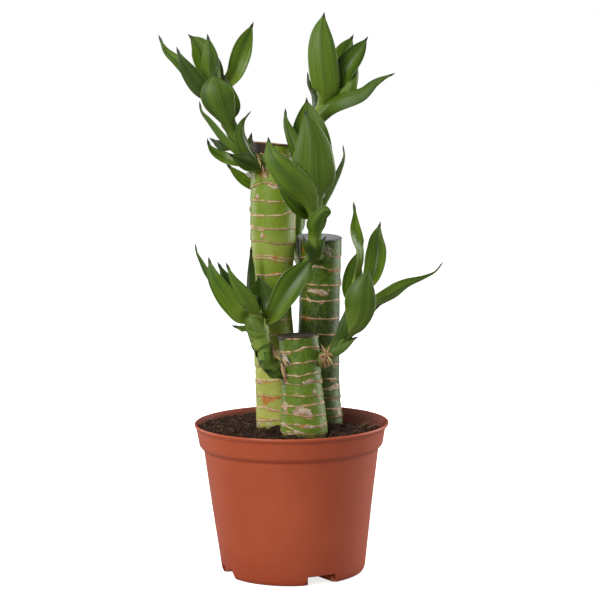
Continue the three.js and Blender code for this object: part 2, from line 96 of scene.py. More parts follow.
lens = bpy.data.cameras.new("studio_camera")
lens.sensor_width = SENSOR
lens.lens = FOCAL * SENSOR / PICTURE
camera = bpy.data.objects.new("studio_camera", lens)
camera.matrix_world = (
    Matrix.Translation(Vector(EYE * MM))
    @ Matrix.Rotation(math.pi / 2 - PITCH, 4, "X")
    @ Matrix.Rotation(ROLL, 4, "Z")
)
bpy.context.scene.collection.objects.link(camera)
bpy.context.scene.camera = camera


def seen(across, down, depth):
    """The point, in mm, that lies at a place in the picture and depth mm behind the pot's middle."""
    u, v = across - PICTURE / 2, down - PICTURE / 2
    right = (u * math.cos(ROLL) + v * math.sin(ROLL)) / FOCAL
    up = (u * math.sin(ROLL) - v * math.cos(ROLL)) / FOCAL
    forward = math.cos(PITCH) + up * math.sin(PITCH)
    rise = up * math.cos(PITCH) - math.sin(PITCH)
    reach = (depth - EYE[1]) / forward
    return np.array([EYE[0] + reach * right, depth, EYE[2] + reach * rise])


print("lens", round(lens.lens, 1), "mm; picture middle at", seen(PICTURE / 2, PICTURE / 2, 0).round(1), "mm")

# %% [markdown]
# ## Tools for making meshes
#
# Nearly everything on this plant is a stack of rings: a pot is a stack of circles, a cane a stack of
# wobbly circles, a leaf a stack of thin curved slices. So one tool skins a stack of rings into a
# closed mesh, and each piece only has to say where its rings run. This is quicker and more exact
# than pulling a block into shape, and the surface can carry marks for the material: numbers at each
# point that say, for instance, how corky the skin is there.

# %% Skin a stack of rings
def skin(rings, marks=None):
    """(points, quads, triangles, marks) of a closed skin over an array rows x sides x 3, in mm."""
    rows, sides, _ = rings.shape
    points = rings.reshape(-1, 3)
    ring = np.arange(sides)
    start = np.arange(rows - 1)[:, None] * sides
    low, high = start + ring, start + (ring + 1) % sides
    quads = np.stack([low, high, high + sides, low + sides], -1).reshape(-1, 4)
    count, last = rows * sides, (rows - 1) * sides
    points = np.vstack([points, rings[0].mean(0), rings[-1].mean(0)])
    following = (ring + 1) % sides
    bottom = np.stack([following, ring, np.full(sides, count)], -1)
    top = np.stack([last + ring, last + following, np.full(sides, count + 1)], -1)
    triangles = np.vstack([bottom, top])
    full = {}
    for name, values in (marks or {}).items():
        flat = values.reshape(count, -1)
        ends = [flat[:sides].mean(0), flat[-sides:].mean(0)]
        full[name] = np.vstack([flat, *ends])
    corners = points[np.vstack([quads[:, :3], quads[:, [0, 2, 3]], triangles])]
    volume = np.einsum("ij,ij->", corners[:, 0], np.cross(corners[:, 1], corners[:, 2]))
    if volume < 0:
        quads, triangles = quads[:, ::-1], triangles[:, ::-1]
    return points, quads, triangles, full


def together(skins):
    """Several skins as one."""
    points, quads, triangles, offset = [], [], [], 0
    for one in skins:
        points.append(one[0])
        quads.append(one[1] + offset)
        triangles.append(one[2] + offset)
        offset += len(one[0])
    marks = {name: np.vstack([one[3][name] for one in skins]) for name in skins[0][3]}
    return np.vstack(points), np.vstack(quads), np.vstack(triangles), marks


# %% Turn a skin into an object
def new_object(name, made, material):
    """An object of the scene, in metres, from a skin in millimetres."""
    points, quads, triangles, _ = made
    mesh = bpy.data.meshes.new(name)
    mesh.from_pydata((points * MM).tolist(), [], quads.tolist() + triangles.tolist())
    mesh.materials.append(material)
    made_object = bpy.data.objects.new(name, mesh)
    bpy.context.scene.collection.objects.link(made_object)
    return made_object


# %% Turn a skin into a piece of the plant
def make_piece(name, made, material, stands_for=None):
    """A smooth mesh that rides on the plant's one body and may stand for a solid of the frame."""
    points, quads, triangles, marks = made
    made_object = new_object(name, made, material)
    mesh = made_object.data
    mesh.shade_smooth()
    for mark, values in marks.items():
        kind = "FLOAT" if values.shape[1] == 1 else "FLOAT_VECTOR"
        layer = mesh.attributes.new(mark, kind, "POINT")
        layer.data.foreach_set("value" if kind == "FLOAT" else "vector", values.astype(np.float32).ravel())
    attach(made_object, BODY)
    if stands_for:
        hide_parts(stands_for)
    size = (points.max(0) - points.min(0)).round(1)
    print(name, "is", size, "mm in", 2 * len(quads) + len(triangles), "triangles")


# %% Helpers for angles, tables and soft steps
def full_turn(sides):
    """Even angles all the way round, in radians."""
    return np.linspace(0, 2 * math.pi, sides, endpoint=False)


def between(table, place):
    """Straight-line reading of a table of (place, value) pairs in rising order."""
    places, values = zip(*table)
    return np.interp(place, places, values)


def smooth(value, low, high):
    share = np.clip((value - low) / (high - low), 0, 1)
    return share * share * (3 - 2 * share)


def mix(a, b, share):
    return a + (b - a) * share


def ripple(points, size, seed):
    """Smooth noise from -1 to 1 at each point, with features about size mm across."""
    shift = Vector((seed * 7.3, seed * 3.1, seed * 5.7))
    flat = np.asarray(points, float).reshape(-1, 3) / size
    values = [noise.noise(Vector(p) + shift) for p in flat]
    return np.array(values).reshape(np.shape(points)[:-1])


# %% [markdown]
# ## Tools for making materials
#
# A material is a small network of nodes. Blender's own way to make one in code takes four lines a
# node, so one helper makes a node, sets it and wires it. Colours are given as they look on a screen,
# from 0 to 255, and turned into the linear values that the shader mixes.

# %% Colours and nodes
def paint(red, green, blue):
    steps = [c / 255 for c in (red, green, blue)]
    return (*(c / 12.92 if c <= 0.04045 else ((c + 0.055) / 1.055) ** 2.4 for c in steps), 1.0)


def put(tree, kind, wires=(), **settings):
    """A new node. wires holds what goes into its sockets: other nodes' outputs or plain values."""
    made = tree.nodes.new(kind)
    for name, value in settings.items():
        setattr(made, name, value)
    for socket, value in dict(wires).items():
        if isinstance(value, bpy.types.NodeSocket):
            tree.links.new(value, made.inputs[socket])
        else:
            made.inputs[socket].default_value = value
    return made


def blend(tree, share, first, second, how="MIX"):
    """The output of a colour mix: first where share is 0, second where it is 1."""
    wires = {0: share, 6: first, 7: second}
    return put(tree, "ShaderNodeMix", wires, data_type="RGBA", blend_type=how).outputs[2]


def stretch(tree, value, low, high, to_low=0.0, to_high=1.0):
    wires = {0: value, 1: low, 2: high, 3: to_low, 4: to_high}
    return put(tree, "ShaderNodeMapRange", wires, interpolation_type="SMOOTHSTEP").outputs[0]


def reckon(tree, how, first, second=0.0):
    return put(tree, "ShaderNodeMath", {0: first, 1: second}, operation=how).outputs[0]


def tint(tree, colour, mask, strength, over):
    """The colour with another one over it where the mask is 1, at a strength below 1."""
    return blend(tree, reckon(tree, "MULTIPLY", mask, strength), colour, over)


def mix_values(tree, share, low, high):
    """low where share is 0, high where it is 1."""
    return put(tree, "ShaderNodeMapRange", {0: share, 1: 0.0, 2: 1.0, 3: low, 4: high}).outputs[0]


def blend_value(tree, share, first, second):
    return put(tree, "ShaderNodeMix", {0: share, 2: first, 3: second}, data_type="FLOAT").outputs[0]


def ramp(tree, value, stops):
    """Colours along a value from 0 to 1, given as (position, colour) pairs."""
    made = put(tree, "ShaderNodeValToRGB", {0: value})
    line = made.color_ramp
    for i, (position, colour) in enumerate(stops):
        stop = line.elements[i] if i < 2 else line.elements.new(position)
        stop.position, stop.color = position, colour
    return made.outputs[0]


def mark(tree, name, vector=False):
    """The numbers that a mesh carries under a name."""
    made = put(tree, "ShaderNodeAttribute", attribute_name=name)
    return made.outputs["Vector" if vector else "Fac"]


def finish_material(name, build, **sockets):
    """A material: build adds its nodes and says what they feed, and sockets are even values."""
    material = bpy.data.materials.new(name)
    material.use_nodes = True
    tree = material.node_tree
    shader = next(n for n in tree.nodes if n.type == "BSDF_PRINCIPLED")
    for socket, value in sockets.items():
        shader.inputs[socket.replace("_", " ")].default_value = value
    for socket, output in build(tree).items():
        tree.links.new(output, shader.inputs[socket])
    print("material", name, "has", len(tree.nodes), "nodes")
    return material


# %% [markdown]
# ### Effects that several finishes share
#
# Plants and plastic share a few surface effects. Lines that run lengthwise show in leaves, stems,
# canes and dried sheaths. Small pits and mottling show in plastic, wax, soil and bark. Traces of
# earth show wherever the soil has touched. Each is one node group, built once and placed in each
# material with its own values. A group gives only masks, and the shader stays in the material.

# %% Start a node group
def start_group(name, inputs, outputs):
    group = bpy.data.node_groups.new(name, "ShaderNodeTree")
    for socket, kind in inputs:
        group.interface.new_socket(socket, in_out="INPUT", socket_type="NodeSocket" + kind)
    for socket in outputs:
        group.interface.new_socket(socket, in_out="OUTPUT", socket_type="NodeSocketFloat")
    return group, group.nodes.new("NodeGroupInput"), group.nodes.new("NodeGroupOutput")


def use(tree, group, **wires):
    """The outputs of a group that is placed in a material with values of its own."""
    return put(tree, "ShaderNodeGroup", wires, node_tree=group).outputs


# %% Lines that run lengthwise
def lengthwise_lines():
    """Bands and hairlines along a surface whose Place is (across, along, a number of its own)."""
    inputs = [("Place", "Vector"), ("Lines", "Float"), ("Drift", "Float")]
    group, given, out = start_group("lengthwise_lines", inputs, ["Bands", "Hairlines"])
    part = put(group, "ShaderNodeSeparateXYZ", {0: given.outputs["Place"]}).outputs
    own = reckon(group, "MULTIPLY", part[2], 17.0)
    for name, finer, low, high in (("Bands", 1.0, 0.34, 0.66), ("Hairlines", 7.0, 0.3, 0.7)):
        across = reckon(group, "MULTIPLY", part[0], reckon(group, "MULTIPLY", given.outputs["Lines"], finer))
        along = reckon(group, "MULTIPLY", part[1], given.outputs["Drift"])
        place = put(group, "ShaderNodeCombineXYZ", {0: across, 1: along, 2: own}).outputs[0]
        cloud = put(group, "ShaderNodeTexNoise", {"Vector": place, "Scale": 1.0, "Detail": 2.0})
        group.links.new(stretch(group, cloud.outputs["Fac"], low, high), out.inputs[name])
    return group


LINES = lengthwise_lines()


# %% Pits and mottling
def pits_and_mottling():
    """Round pits, and soft cloudy mottling four times as large, at Scale pits to the metre."""
    inputs = [("Place", "Vector"), ("Scale", "Float")]
    group, given, out = start_group("pits_and_mottling", inputs, ["Pits", "Mottle"])
    wires = {"Vector": given.outputs["Place"], "Scale": given.outputs["Scale"]}
    cells = put(group, "ShaderNodeTexVoronoi", wires)
    group.links.new(stretch(group, cells.outputs["Distance"], 0.05, 0.5), out.inputs["Pits"])
    wires["Scale"] = reckon(group, "MULTIPLY", given.outputs["Scale"], 0.25)
    cloud = put(group, "ShaderNodeTexNoise", {**wires, "Detail": 4.0, "Roughness": 0.6})
    group.links.new(stretch(group, cloud.outputs["Fac"], 0.3, 0.7), out.inputs["Mottle"])
    return group


PITS = pits_and_mottling()


# %% Traces of earth
def earth_traces():
    """A broken smear of earth that fades upwards and downwards from the level of the soil."""
    inputs = [("Place", "Vector"), ("Level", "Float"), ("Reach", "Float")]
    group, given, out = start_group("earth_traces", inputs, ["Mask"])
    height = put(group, "ShaderNodeSeparateXYZ", {0: given.outputs["Place"]}).outputs[2]
    away = reckon(group, "ABSOLUTE", reckon(group, "SUBTRACT", height, given.outputs["Level"]))
    near = reckon(group, "SUBTRACT", 1.0, reckon(group, "DIVIDE", away, given.outputs["Reach"]))
    wires = {"Vector": given.outputs["Place"], "Scale": 420.0, "Detail": 6.0, "Roughness": 0.7}
    cloud = put(group, "ShaderNodeTexNoise", wires).outputs["Fac"]
    total = reckon(group, "ADD", reckon(group, "MULTIPLY", near, 0.55), cloud)
    group.links.new(stretch(group, total, 0.72, 0.92), out.inputs["Mask"])
    return group


EARTH = earth_traces()
print("shared effects:", [group.name for group in bpy.data.node_groups])


# %% Places and bumps for the materials
def here(tree):
    """Places on the object itself, in metres."""
    return put(tree, "ShaderNodeTexCoord").outputs["Object"]


def bump(tree, height, strength, depth_mm):
    wires = {"Height": height, "Strength": strength, "Distance": depth_mm * MM}
    return put(tree, "ShaderNodeBump", wires).outputs["Normal"]


# %% [markdown]
# ## The pot
#
# The pot is one thin shell of terracotta-coloured plastic, pressed in a mould. It has a rolled lip, a
# deep band for stacking, a tapering wall and a foot ring with four drain notches. A mould is turned
# on a lathe, so the mesh is turned too: the half section is drawn once, its corners are rounded as
# moulded corners are, and it is swept round. Cutting the notches with a Boolean would leave ragged
# triangles in the thin wall. Here the rings of the foot are simply pushed up where a notch is.

# %% The pot's half section
pot_low, pot_high = (np.array(corner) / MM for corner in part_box("pot"))
POT_HEIGHT = pot_high[2]
LIP = (pot_high[0] - pot_low[0]) / 2
POT_WALL = 1.2
FOOT = 44.2
FLOOR = 3.2  # underside of the floor above the ground
FLOOR_INSIDE = FLOOR + POT_WALL
WALL_LOW, WALL_RISE = 1, 75  # where the tapering wall starts and how far up it goes
WALL_FOOT, WALL_HEAD = FOOT + 0.6, LIP - 5.6  # its radius at those two heights
CORNER_STEPS = 5


def wall_at(height):
    """The outer radius of the tapering wall."""
    return mix(WALL_FOOT, WALL_HEAD, (height - WALL_LOW) / WALL_RISE)


# radius, height and the rounding of each corner, from the floor's underside outwards and back inside
POT_SECTION = [
    (9, 0.0, 0.4), (10, FLOOR, 0.8), (36.9, FLOOR, 0), (37.5, FLOOR, 0), (FOOT - 1.7, FLOOR, 0.5),
    (FOOT - 1.5, 0.0, 0.5), (FOOT - 0.3, 0.0, 0.5), (wall_at(2.2), 2.2, 0.8), (wall_at(5.8), 5.8, 0),
    (wall_at(6.4), 6.4, 0), (wall_at(40), 40, 0), (wall_at(76.9), 76.9, 0.8), (LIP - 2.9, 79.3, 1.3),
    (LIP - 1.1, 89.4, 1.2), (LIP, 90.5, 0.6), (LIP + 0.5, 91.4, 0.5), (LIP + 0.4, POT_HEIGHT - 0.1, 0.6),
    (LIP - 0.9, POT_HEIGHT, 0.6), (LIP - 2.1, 89.8, 1.2), (LIP - 3.9, 80, 1.2),
    (wall_at(75.4) - POT_WALL, 75.2, 1.0), (wall_at(8) - POT_WALL, 8, 0), (wall_at(8) - 3, FLOOR_INSIDE, 1.2),
    (36.6, FLOOR_INSIDE, 0), (36, FLOOR_INSIDE, 0), (12, FLOOR_INSIDE, 0),
]


def rounded(section):
    """The section with each corner replaced by a short curve."""
    done = []
    for i, (r, z, rounding) in enumerate(section):
        corner = np.array([r, z])
        if not rounding or i in (0, len(section) - 1):
            done.append(corner)
            continue
        before = np.array(section[i - 1][:2]) - corner
        after = np.array(section[i + 1][:2]) - corner
        start = corner + before / np.linalg.norm(before) * min(rounding, np.linalg.norm(before) * 0.45)
        end = corner + after / np.linalg.norm(after) * min(rounding, np.linalg.norm(after) * 0.45)
        for t in np.linspace(0, 1, CORNER_STEPS):
            done.append((1 - t) ** 2 * start + 2 * t * (1 - t) * corner + t**2 * end)
    return np.array(done)


outline = rounded(POT_SECTION)
print("pot", round(2 * LIP, 1), "mm over its lip,", round(POT_HEIGHT, 1), "mm high;", len(outline), "rings")

# %% Sweep the section and raise the notches
SWEEP_STEP = 2.0  # degrees
NOTCH_MIDDLES = [23, 113, 203, 293]  # degrees from the front
NOTCH_HALF = 11  # degrees
NOTCH_STEPS = (-0.7, -0.25, 0.25, 0.7)  # degrees from a notch's side to the corners that draw it
NOTCH_HEIGHT = 5.8
NOTCH_INNER = 37.2
NOTCH_SPLAY = 2.0  # degrees, how much wider each side of a notch is at the ground
SQUEEZE = 0.04  # what is left of the foot's height inside a notch
BULGE = 0.42  # mm, how far the thin wall is out of round, towards the left


def turned_pot():
    sides = [middle + side * NOTCH_HALF for middle in NOTCH_MIDDLES for side in (-1, 1)]
    edges = [side + step for side in sides for step in NOTCH_STEPS]
    around = [a for a in np.arange(0, 360, SWEEP_STEP) if min(abs(a - e) for e in edges) > 0.6]
    angles = np.array(sorted(around + edges))
    signed = np.array([(angles - m + 180) % 360 - 180 for m in NOTCH_MIDDLES])
    signed = signed[np.argmin(abs(signed), 0), np.arange(len(angles))]
    off = abs(signed)
    inside = 1 - smooth(off, NOTCH_HALF - 0.5, NOTCH_HALF + 0.5)
    splay = np.sign(signed) * NOTCH_SPLAY * np.exp(-(((off - NOTCH_HALF) / 4) ** 2))
    rings, inner = [], []
    inner_side = False
    for r, z in outline:
        inner_side = inner_side or z > POT_HEIGHT - 0.05
        inner.append(np.full(len(angles), float(inner_side)))
        ceiling = NOTCH_HEIGHT + (POT_WALL if inner_side else 0)
        reach = inside * (r > NOTCH_INNER - (0.4 if inner_side else 0))
        lifted = np.where(z < ceiling, ceiling - (ceiling - z) * mix(1, SQUEEZE, reach), z)
        turn = np.radians(angles + splay * np.clip(1 - z / ceiling, 0, 1) - 90)
        bulge = BULGE * smooth(z, 4, 20) * smooth(-z, -91, -88.5) * np.cos(turn)
        warp = smooth(z, 84, 91) * (0.5 + 0.55 * np.sin(turn) - 0.15 * np.cos(turn))
        rings.append(np.stack([(r - bulge) * np.cos(turn), (r - bulge) * np.sin(turn), lifted + warp], -1))
    return skin(np.array(rings), {"inner": np.array(inner)})


# %% Ribs under the floor, one at each side of each notch
RIB_HALF = 0.7
RIB_INNER, RIB_OUTER, RIB_TOP = 22.0, FOOT - 1.2, 3.8


def foot_rib(angle):
    turn = math.radians(angle - 90)
    out, side = np.array([math.cos(turn), math.sin(turn), 0]), np.array([-math.sin(turn), math.cos(turn), 0])
    shape = [(-0.85, 0.0), (0.85, 0.0), (1.0, 0.06), (1.0, 1.0), (-1.0, 1.0), (-1.0, 0.06)]
    ring = np.array([side * across * RIB_HALF + [0, 0, 0.2 + (RIB_TOP - 0.2) * up] for across, up in shape])
    rings = np.array([ring + out * r for r in np.linspace(RIB_INNER, RIB_OUTER, 6)])
    return skin(rings, {"inner": np.zeros(rings.shape[:2])})


# %% [markdown]
# ### Terracotta-coloured plastic
#
# The real finish is even, slightly waxy plastic: neither glossy nor matt, with a very fine pebbled
# skin from the mould, faint paler edges on the lip and the band's lower edge, part rubbing and part
# painted highlight, and traces of earth near the lip. A picture of it would do, but a material built
# from nodes stays sharp at any distance. The paler edges come from the shape: Geometry's Pointiness
# is high where the mesh is sharp.

# %% The pot's material
def plastic_nodes(tree):
    place = here(tree)
    skin_pits = use(tree, PITS, Place=place, Scale=2600.0)
    clouds = use(tree, PITS, Place=place, Scale=130.0)
    earth = use(tree, EARTH, Place=place, Level=0.088, Reach=0.009)["Mask"]
    earth = reckon(tree, "MULTIPLY", earth, mark(tree, "inner"))
    colour = blend(tree, clouds["Mottle"], paint(178, 77, 42), paint(184, 83, 46))
    height = put(tree, "ShaderNodeSeparateXYZ", {0: place}).outputs[2]
    # Darker towards the bottom, over the lowest 30 mm.
    colour = blend(tree, stretch(tree, height, 0.0, 0.03, 0.35, 0.0), colour, paint(160, 62, 36))
    # Paler at the sharp edges of the lip and the band: partly rubbed wear, partly a painted highlight where
    # those edges catch the light.
    edge = put(tree, "ShaderNodeNewGeometry").outputs["Pointiness"]
    colour = tint(tree, colour, stretch(tree, edge, 0.52, 0.6), 0.2, paint(205, 132, 100))
    # Painted shade: the whole inside of the pot is painted darker, as shade under its rim and wall.
    colour = tint(tree, colour, mark(tree, "inner"), 0.6, paint(92, 40, 28))
    colour = tint(tree, colour, earth, 0.45, paint(74, 42, 30))
    rough = mix_values(tree, clouds["Mottle"], 0.42, 0.5)
    dull = reckon(tree, "MAXIMUM", earth, mark(tree, "inner"))
    rough = blend_value(tree, dull, rough, 0.8)
    return {"Base Color": colour, "Roughness": rough, "Normal": bump(tree, skin_pits["Pits"], 0.06, 0.08)}


POT_PLASTIC = finish_material("terracotta_plastic", plastic_nodes, Specular_IOR_Level=0.5)
ribs = [foot_rib(middle + side * (NOTCH_HALF + 1)) for middle in NOTCH_MIDDLES for side in (-1, 1)]
make_piece("grower_pot", together([turned_pot(), *ribs]), POT_PLASTIC, "pot")

# %% [markdown]
# ## The soil
#
# The pot is filled with dark, fibrous peat to a few millimetres below the lip. It is heaped a little
# at the left and sinks towards the back on the right. A flat disc with a picture of earth would look
# like a lid. So the bed is a mesh with lumps of three sizes, and crumbs and fibres lie on it as
# meshes of their own, all drawn with seeded chance, so they fall the same way each time.

# %% The level of the soil
SOIL_DEPTH = 5.5  # mean level below the lip
# the middle of each heap, how wide it spreads and how high it rises
HEAPS = [
    (-24, 34, 150, 5.0), (-13, -11, 60, 4.4), (-2, -8, 40, 3.2), (26, -1, 90, 4.6), (-3, -29, 90, 1.8),
    (8, -38, 40, 2.2),
]
DIP = (36, 34, 420, 4.4)  # the hollow at the back right, given like a heap
LEFT_RISE = 3.2  # mm that the soil climbs towards the pot's left side


def mound(x, y, at_x, at_y, wide, high):
    return high * np.exp(-((x - at_x) ** 2 + (y - at_y) ** 2) / wide)


def soil_level(x, y):
    heap = sum(mound(x, y, *shape) for shape in HEAPS)
    heap = heap + LEFT_RISE * smooth(-x, 28, 54)
    waves = 0.7 * np.sin(x * 0.41 + y * 0.17) + 0.6 * np.sin(y * 0.53 - x * 0.22)
    lumps = 0.4 * np.sin(x * 0.9) * np.sin(y * 0.8)
    return POT_HEIGHT - SOIL_DEPTH + heap - mound(x, y, *DIP) + waves + lumps


def rough_level(x, y):
    """The level with its lumps and grains."""
    flat = np.stack([x, y, np.zeros_like(x)], -1)
    lumps = 0.75 * ripple(flat, 4.2, 1) + 0.5 * ripple(flat, 1.9, 2) + 0.28 * ripple(flat, 0.9, 3)
    return soil_level(x, y) + lumps


# %% The bed
SOIL_SIDES = 260
SOIL_RINGS = 96
SOIL_EDGE = LIP - 3.1
SOIL_FLOOR = 7.6


def soil_bed():
    turn = full_turn(SOIL_SIDES)
    circle = np.stack([np.cos(turn), np.sin(turn)], -1)
    wall = [
        (wall_at(8) - 3.2, SOIL_FLOOR), (wall_at(9) - 1.7, SOIL_FLOOR + 1.4), (wall_at(75) - 1.7, 75),
        (LIP - 4.9, 79.8),
    ]
    rings = [np.column_stack([circle * r, np.full(SOIL_SIDES, z)]) for r, z in wall]
    for r in np.linspace(1, 0.02, SOIL_RINGS) * SOIL_EDGE:
        flat = circle * r
        rings.append(np.column_stack([flat, rough_level(flat[:, 0], flat[:, 1])]))
    return skin(np.array(rings))


# %% Peat that is dark, fibrous and dry on top
def peat_nodes(tree):
    place = here(tree)
    grain = use(tree, PITS, Place=place, Scale=1100.0)
    lumps = use(tree, PITS, Place=place, Scale=420.0)
    colour = blend(tree, grain["Mottle"], paint(25, 15, 11), paint(59, 37, 27))
    colour = tint(tree, colour, lumps["Mottle"], 0.5, paint(52, 30, 21))
    colour = tint(tree, colour, mark(tree, "tone"), 0.5, paint(88, 56, 39))
    rough = mix_values(tree, grain["Pits"], 0.82, 0.98)
    return {"Base Color": colour, "Roughness": rough, "Normal": bump(tree, grain["Mottle"], 0.7, 0.5)}


PEAT = finish_material("fibrous_peat", peat_nodes, Specular_IOR_Level=0.25)
make_piece("soil_bed", soil_bed(), PEAT, "soil")

# %% [markdown]
# ### Crumbs and fibres
#
# Peat is made of rotted plant bits: crumbs up to 4 mm, dark rootlets and a few straw-coloured
# threads. Each crumb is a small ball pushed out of shape by noise. Each fibre is a thin bent tube.
# Particles could scatter them, but particles are lost on export, so they are one joined mesh each.

# %% Where crumbs and fibres may lie
CANE_FEET = {"tall": (-8.3, 7), "middle": (19.1, 16), "short": (7.9, -19)}  # mm, where each leaves the soil
CANE_GIRTH = 14.0


def scatter(draw, count, margin):
    """Places on the soil, clear of the canes and the pot's wall."""
    places = []
    while len(places) < count:
        x, y = draw.uniform(-SOIL_EDGE, SOIL_EDGE, 2)
        clear = all(math.hypot(x - fx, y - fy) > CANE_GIRTH + margin * 0.4 for fx, fy in CANE_FEET.values())
        if clear and math.hypot(x, y) < SOIL_EDGE - margin:
            places.append((x, y))
    return np.array(places)


# %% Crumbs
CRUMB_COUNT = 560
CRUMB_LEAST, CRUMB_SPREAD, CRUMB_MOST = 0.35, 0.38, 2.0  # mm of radius; most crumbs are small


def ball(steps):
    """The points and triangles of an even ball of radius 1."""
    sphere = bpy.data.meshes.new("ball")
    shape = bmesh.new()
    bmesh.ops.create_icosphere(shape, subdivisions=steps, radius=1)
    shape.to_mesh(sphere)
    shape.free()
    points = np.array([v.co for v in sphere.vertices])
    triangles = np.array([p.vertices[:] for p in sphere.polygons])
    bpy.data.meshes.remove(sphere)
    return points, triangles


def crumbs(count):
    draw = np.random.default_rng(41)
    points, triangles = ball(2)
    made = []
    places = scatter(draw, count, 1.2)
    for i, (x, y) in enumerate(places):
        size = min(CRUMB_LEAST + draw.exponential(CRUMB_SPREAD), CRUMB_MOST)
        stretch_by = draw.uniform(0.6, 1.35, 3)
        bent = points * (1 + 0.42 * ripple(points + i * 3.7, 0.8, 5))[:, None] * stretch_by * size
        spin = Matrix.Rotation(draw.uniform(0, 6.3), 3, "Z") @ Matrix.Rotation(draw.uniform(0, 6.3), 3, "X")
        height = float(rough_level(np.array([x]), np.array([y]))[0]) + size * draw.uniform(0.0, 0.5)
        made.append((bent @ np.array(spin).T + [x, y, height], np.zeros((0, 4), int), triangles,
                     {"tone": np.full((len(points), 1), draw.random() ** 2.2)}))
    return together(made)


# %% A thin tube that follows a line
FIBRE_STEPS = 9
FIBRE_SIDES = 5
ASKEW = [0.31, 0.17, 0.93]  # a direction that no fibre follows


def thread(line, radii, tone):
    """A tube round a line of points, with a radius at each."""
    heading = np.gradient(line, axis=0)
    heading /= np.linalg.norm(heading, axis=1)[:, None]
    across = np.cross(heading, ASKEW)
    across /= np.linalg.norm(across, axis=1)[:, None]
    up = np.cross(across, heading)
    turn = full_turn(FIBRE_SIDES)
    ring = np.cos(turn)[None, :, None] * across[:, None] + np.sin(turn)[None, :, None] * up[:, None]
    rings = line[:, None] + ring * np.asarray(radii)[:, None, None]
    return skin(rings, {"tone": np.full(rings.shape[:2], tone)})


# %% Fibres
FIBRE_COUNT = 520
LONG_SHARE = 0.12  # how many of the fibres are long ones


def fibre(draw, x, y, length, girth, tone, lift):
    heading = draw.uniform(0, 2 * math.pi)
    bend = draw.uniform(-1.4, 1.4)
    share = np.linspace(0, 1, FIBRE_STEPS)
    turn = heading + bend * share
    flat = np.cumsum(np.stack([np.cos(turn), np.sin(turn)], -1), 0) * length / FIBRE_STEPS + [x, y]
    far = np.hypot(flat[:, 0], flat[:, 1])
    flat *= np.minimum(1, (SOIL_EDGE - 0.6) / far)[:, None]
    arch = lift * np.sin(share * math.pi * draw.uniform(0.6, 1.3))
    height = soil_level(flat[:, 0], flat[:, 1]) + 0.5 + arch
    line = np.column_stack([flat, height + 0.25 * np.sin(share * 9 + bend)])
    return thread(line, girth * (1 - 0.6 * share), tone)


# %% Straws
STRAW_TONE = 0.95
STRAWS = [  # two ends of each pale straw that sticks up out of the peat
    ((41, -2, 88), (46.5, -6, 93.6)), ((44, 2, 88.5), (49, -1, 92.6)), ((47, -6, 89), (52, -7, 91.6)),
    ((44, -9, 88.6), (40.5, -12, 92)), ((50, 2, 89), (47, -3, 92.8)), ((-20, -36, 88), (-24, -40, 90.4)),
]


def fibres(count):
    draw = np.random.default_rng(17)
    made = []
    for foot, head in STRAWS:
        line = np.linspace(foot, head, FIBRE_STEPS)
        line[:, 2] += 0.5 * np.sin(np.linspace(0, math.pi, FIBRE_STEPS))
        made.append(thread(line, np.linspace(0.26, 0.1, FIBRE_STEPS), STRAW_TONE))
    for x, y in scatter(draw, count, 2.0):
        long = draw.random() < LONG_SHARE
        length = draw.uniform(7, 13) if long else draw.uniform(2.5, 7)
        tone = draw.uniform(0.4, 0.95) if long else draw.random() ** 1.8
        made.append(fibre(draw, x, y, length, draw.uniform(0.09, 0.24), tone, draw.uniform(0.1, 1.3)))
    return together(made)


# %% Fibres from dark root to pale straw
def fibre_nodes(tree):
    grain = use(tree, PITS, Place=here(tree), Scale=1500.0)
    stops = [(0.0, paint(34, 20, 14)), (0.6, paint(92, 56, 36)), (1.0, paint(166, 128, 92))]
    colour = ramp(tree, mark(tree, "tone"), stops)
    colour = tint(tree, colour, grain["Mottle"], 0.4, paint(40, 24, 16))
    return {"Base Color": colour, "Normal": bump(tree, grain["Pits"], 0.3, 0.1)}


FIBRE = finish_material("peat_fibre", fibre_nodes, Roughness=0.85)
make_piece("soil_crumbs", crumbs(CRUMB_COUNT), PEAT)
make_piece("soil_fibres", fibres(FIBRE_COUNT), FIBRE)

# %% [markdown]
# ## The canes
#
# A lucky bamboo cane is the bare lower stem of a plant whose leaves have dropped. Each leaf clasped
# the cane all round and left a thin, corky, tan scar, so the cane looks ringed like bamboo. No two
# scars are alike: they waver, fork, double and flake. A lathe shape with even rings would look
# turned. So each scar is drawn as a line over the cane's front, as places in the picture, wrapped
# round the cane, and carried round the back with a wander of its own. The mesh is raised along these
# lines, and the same lines mark the skin for the material.

# %% The form of each cane
CANES = {
    "tall": dict(
        depth=7, top=265.4, slant=-0.1, nod=0.02,
        axis=[(85, -8.2), (105, -8.9), (165, -11.2), (190, -10.6), (205, -10.3), (235, -9.4), (266, -8.7)],
        radius=[(85, 13.8), (105, 13.4), (165, 11.9), (190, 12.9), (205, 13.8), (235, 14.3), (266, 13.7)],
    ),
    "middle": dict(
        depth=16, top=207.0, slant=-0.04, nod=0.1,
        axis=[(85, 19.1), (111, 17.2), (150, 17.9), (168, 18.5), (210, 18.9)],
        radius=[(85, 14), (111, 13.2), (150, 12.9), (168, 12.7), (196, 13.6), (210, 14)],
    ),
    "short": dict(
        depth=-19, top=149.4, slant=0.04, nod=0.0,
        axis=[(85, 7.9), (94, 7.7), (122, 6.4), (150, 4.8)],
        radius=[(85, 14.3), (94, 14.2), (122, 12.4), (150, 12.1)],
    ),
}
CANE_BOTTOM = 52.0  # mm, well down in the soil
FIRST_GUESS = 12.0  # mm from a cane's middle to its front, bettered in a few rounds
ROUNDS = 6


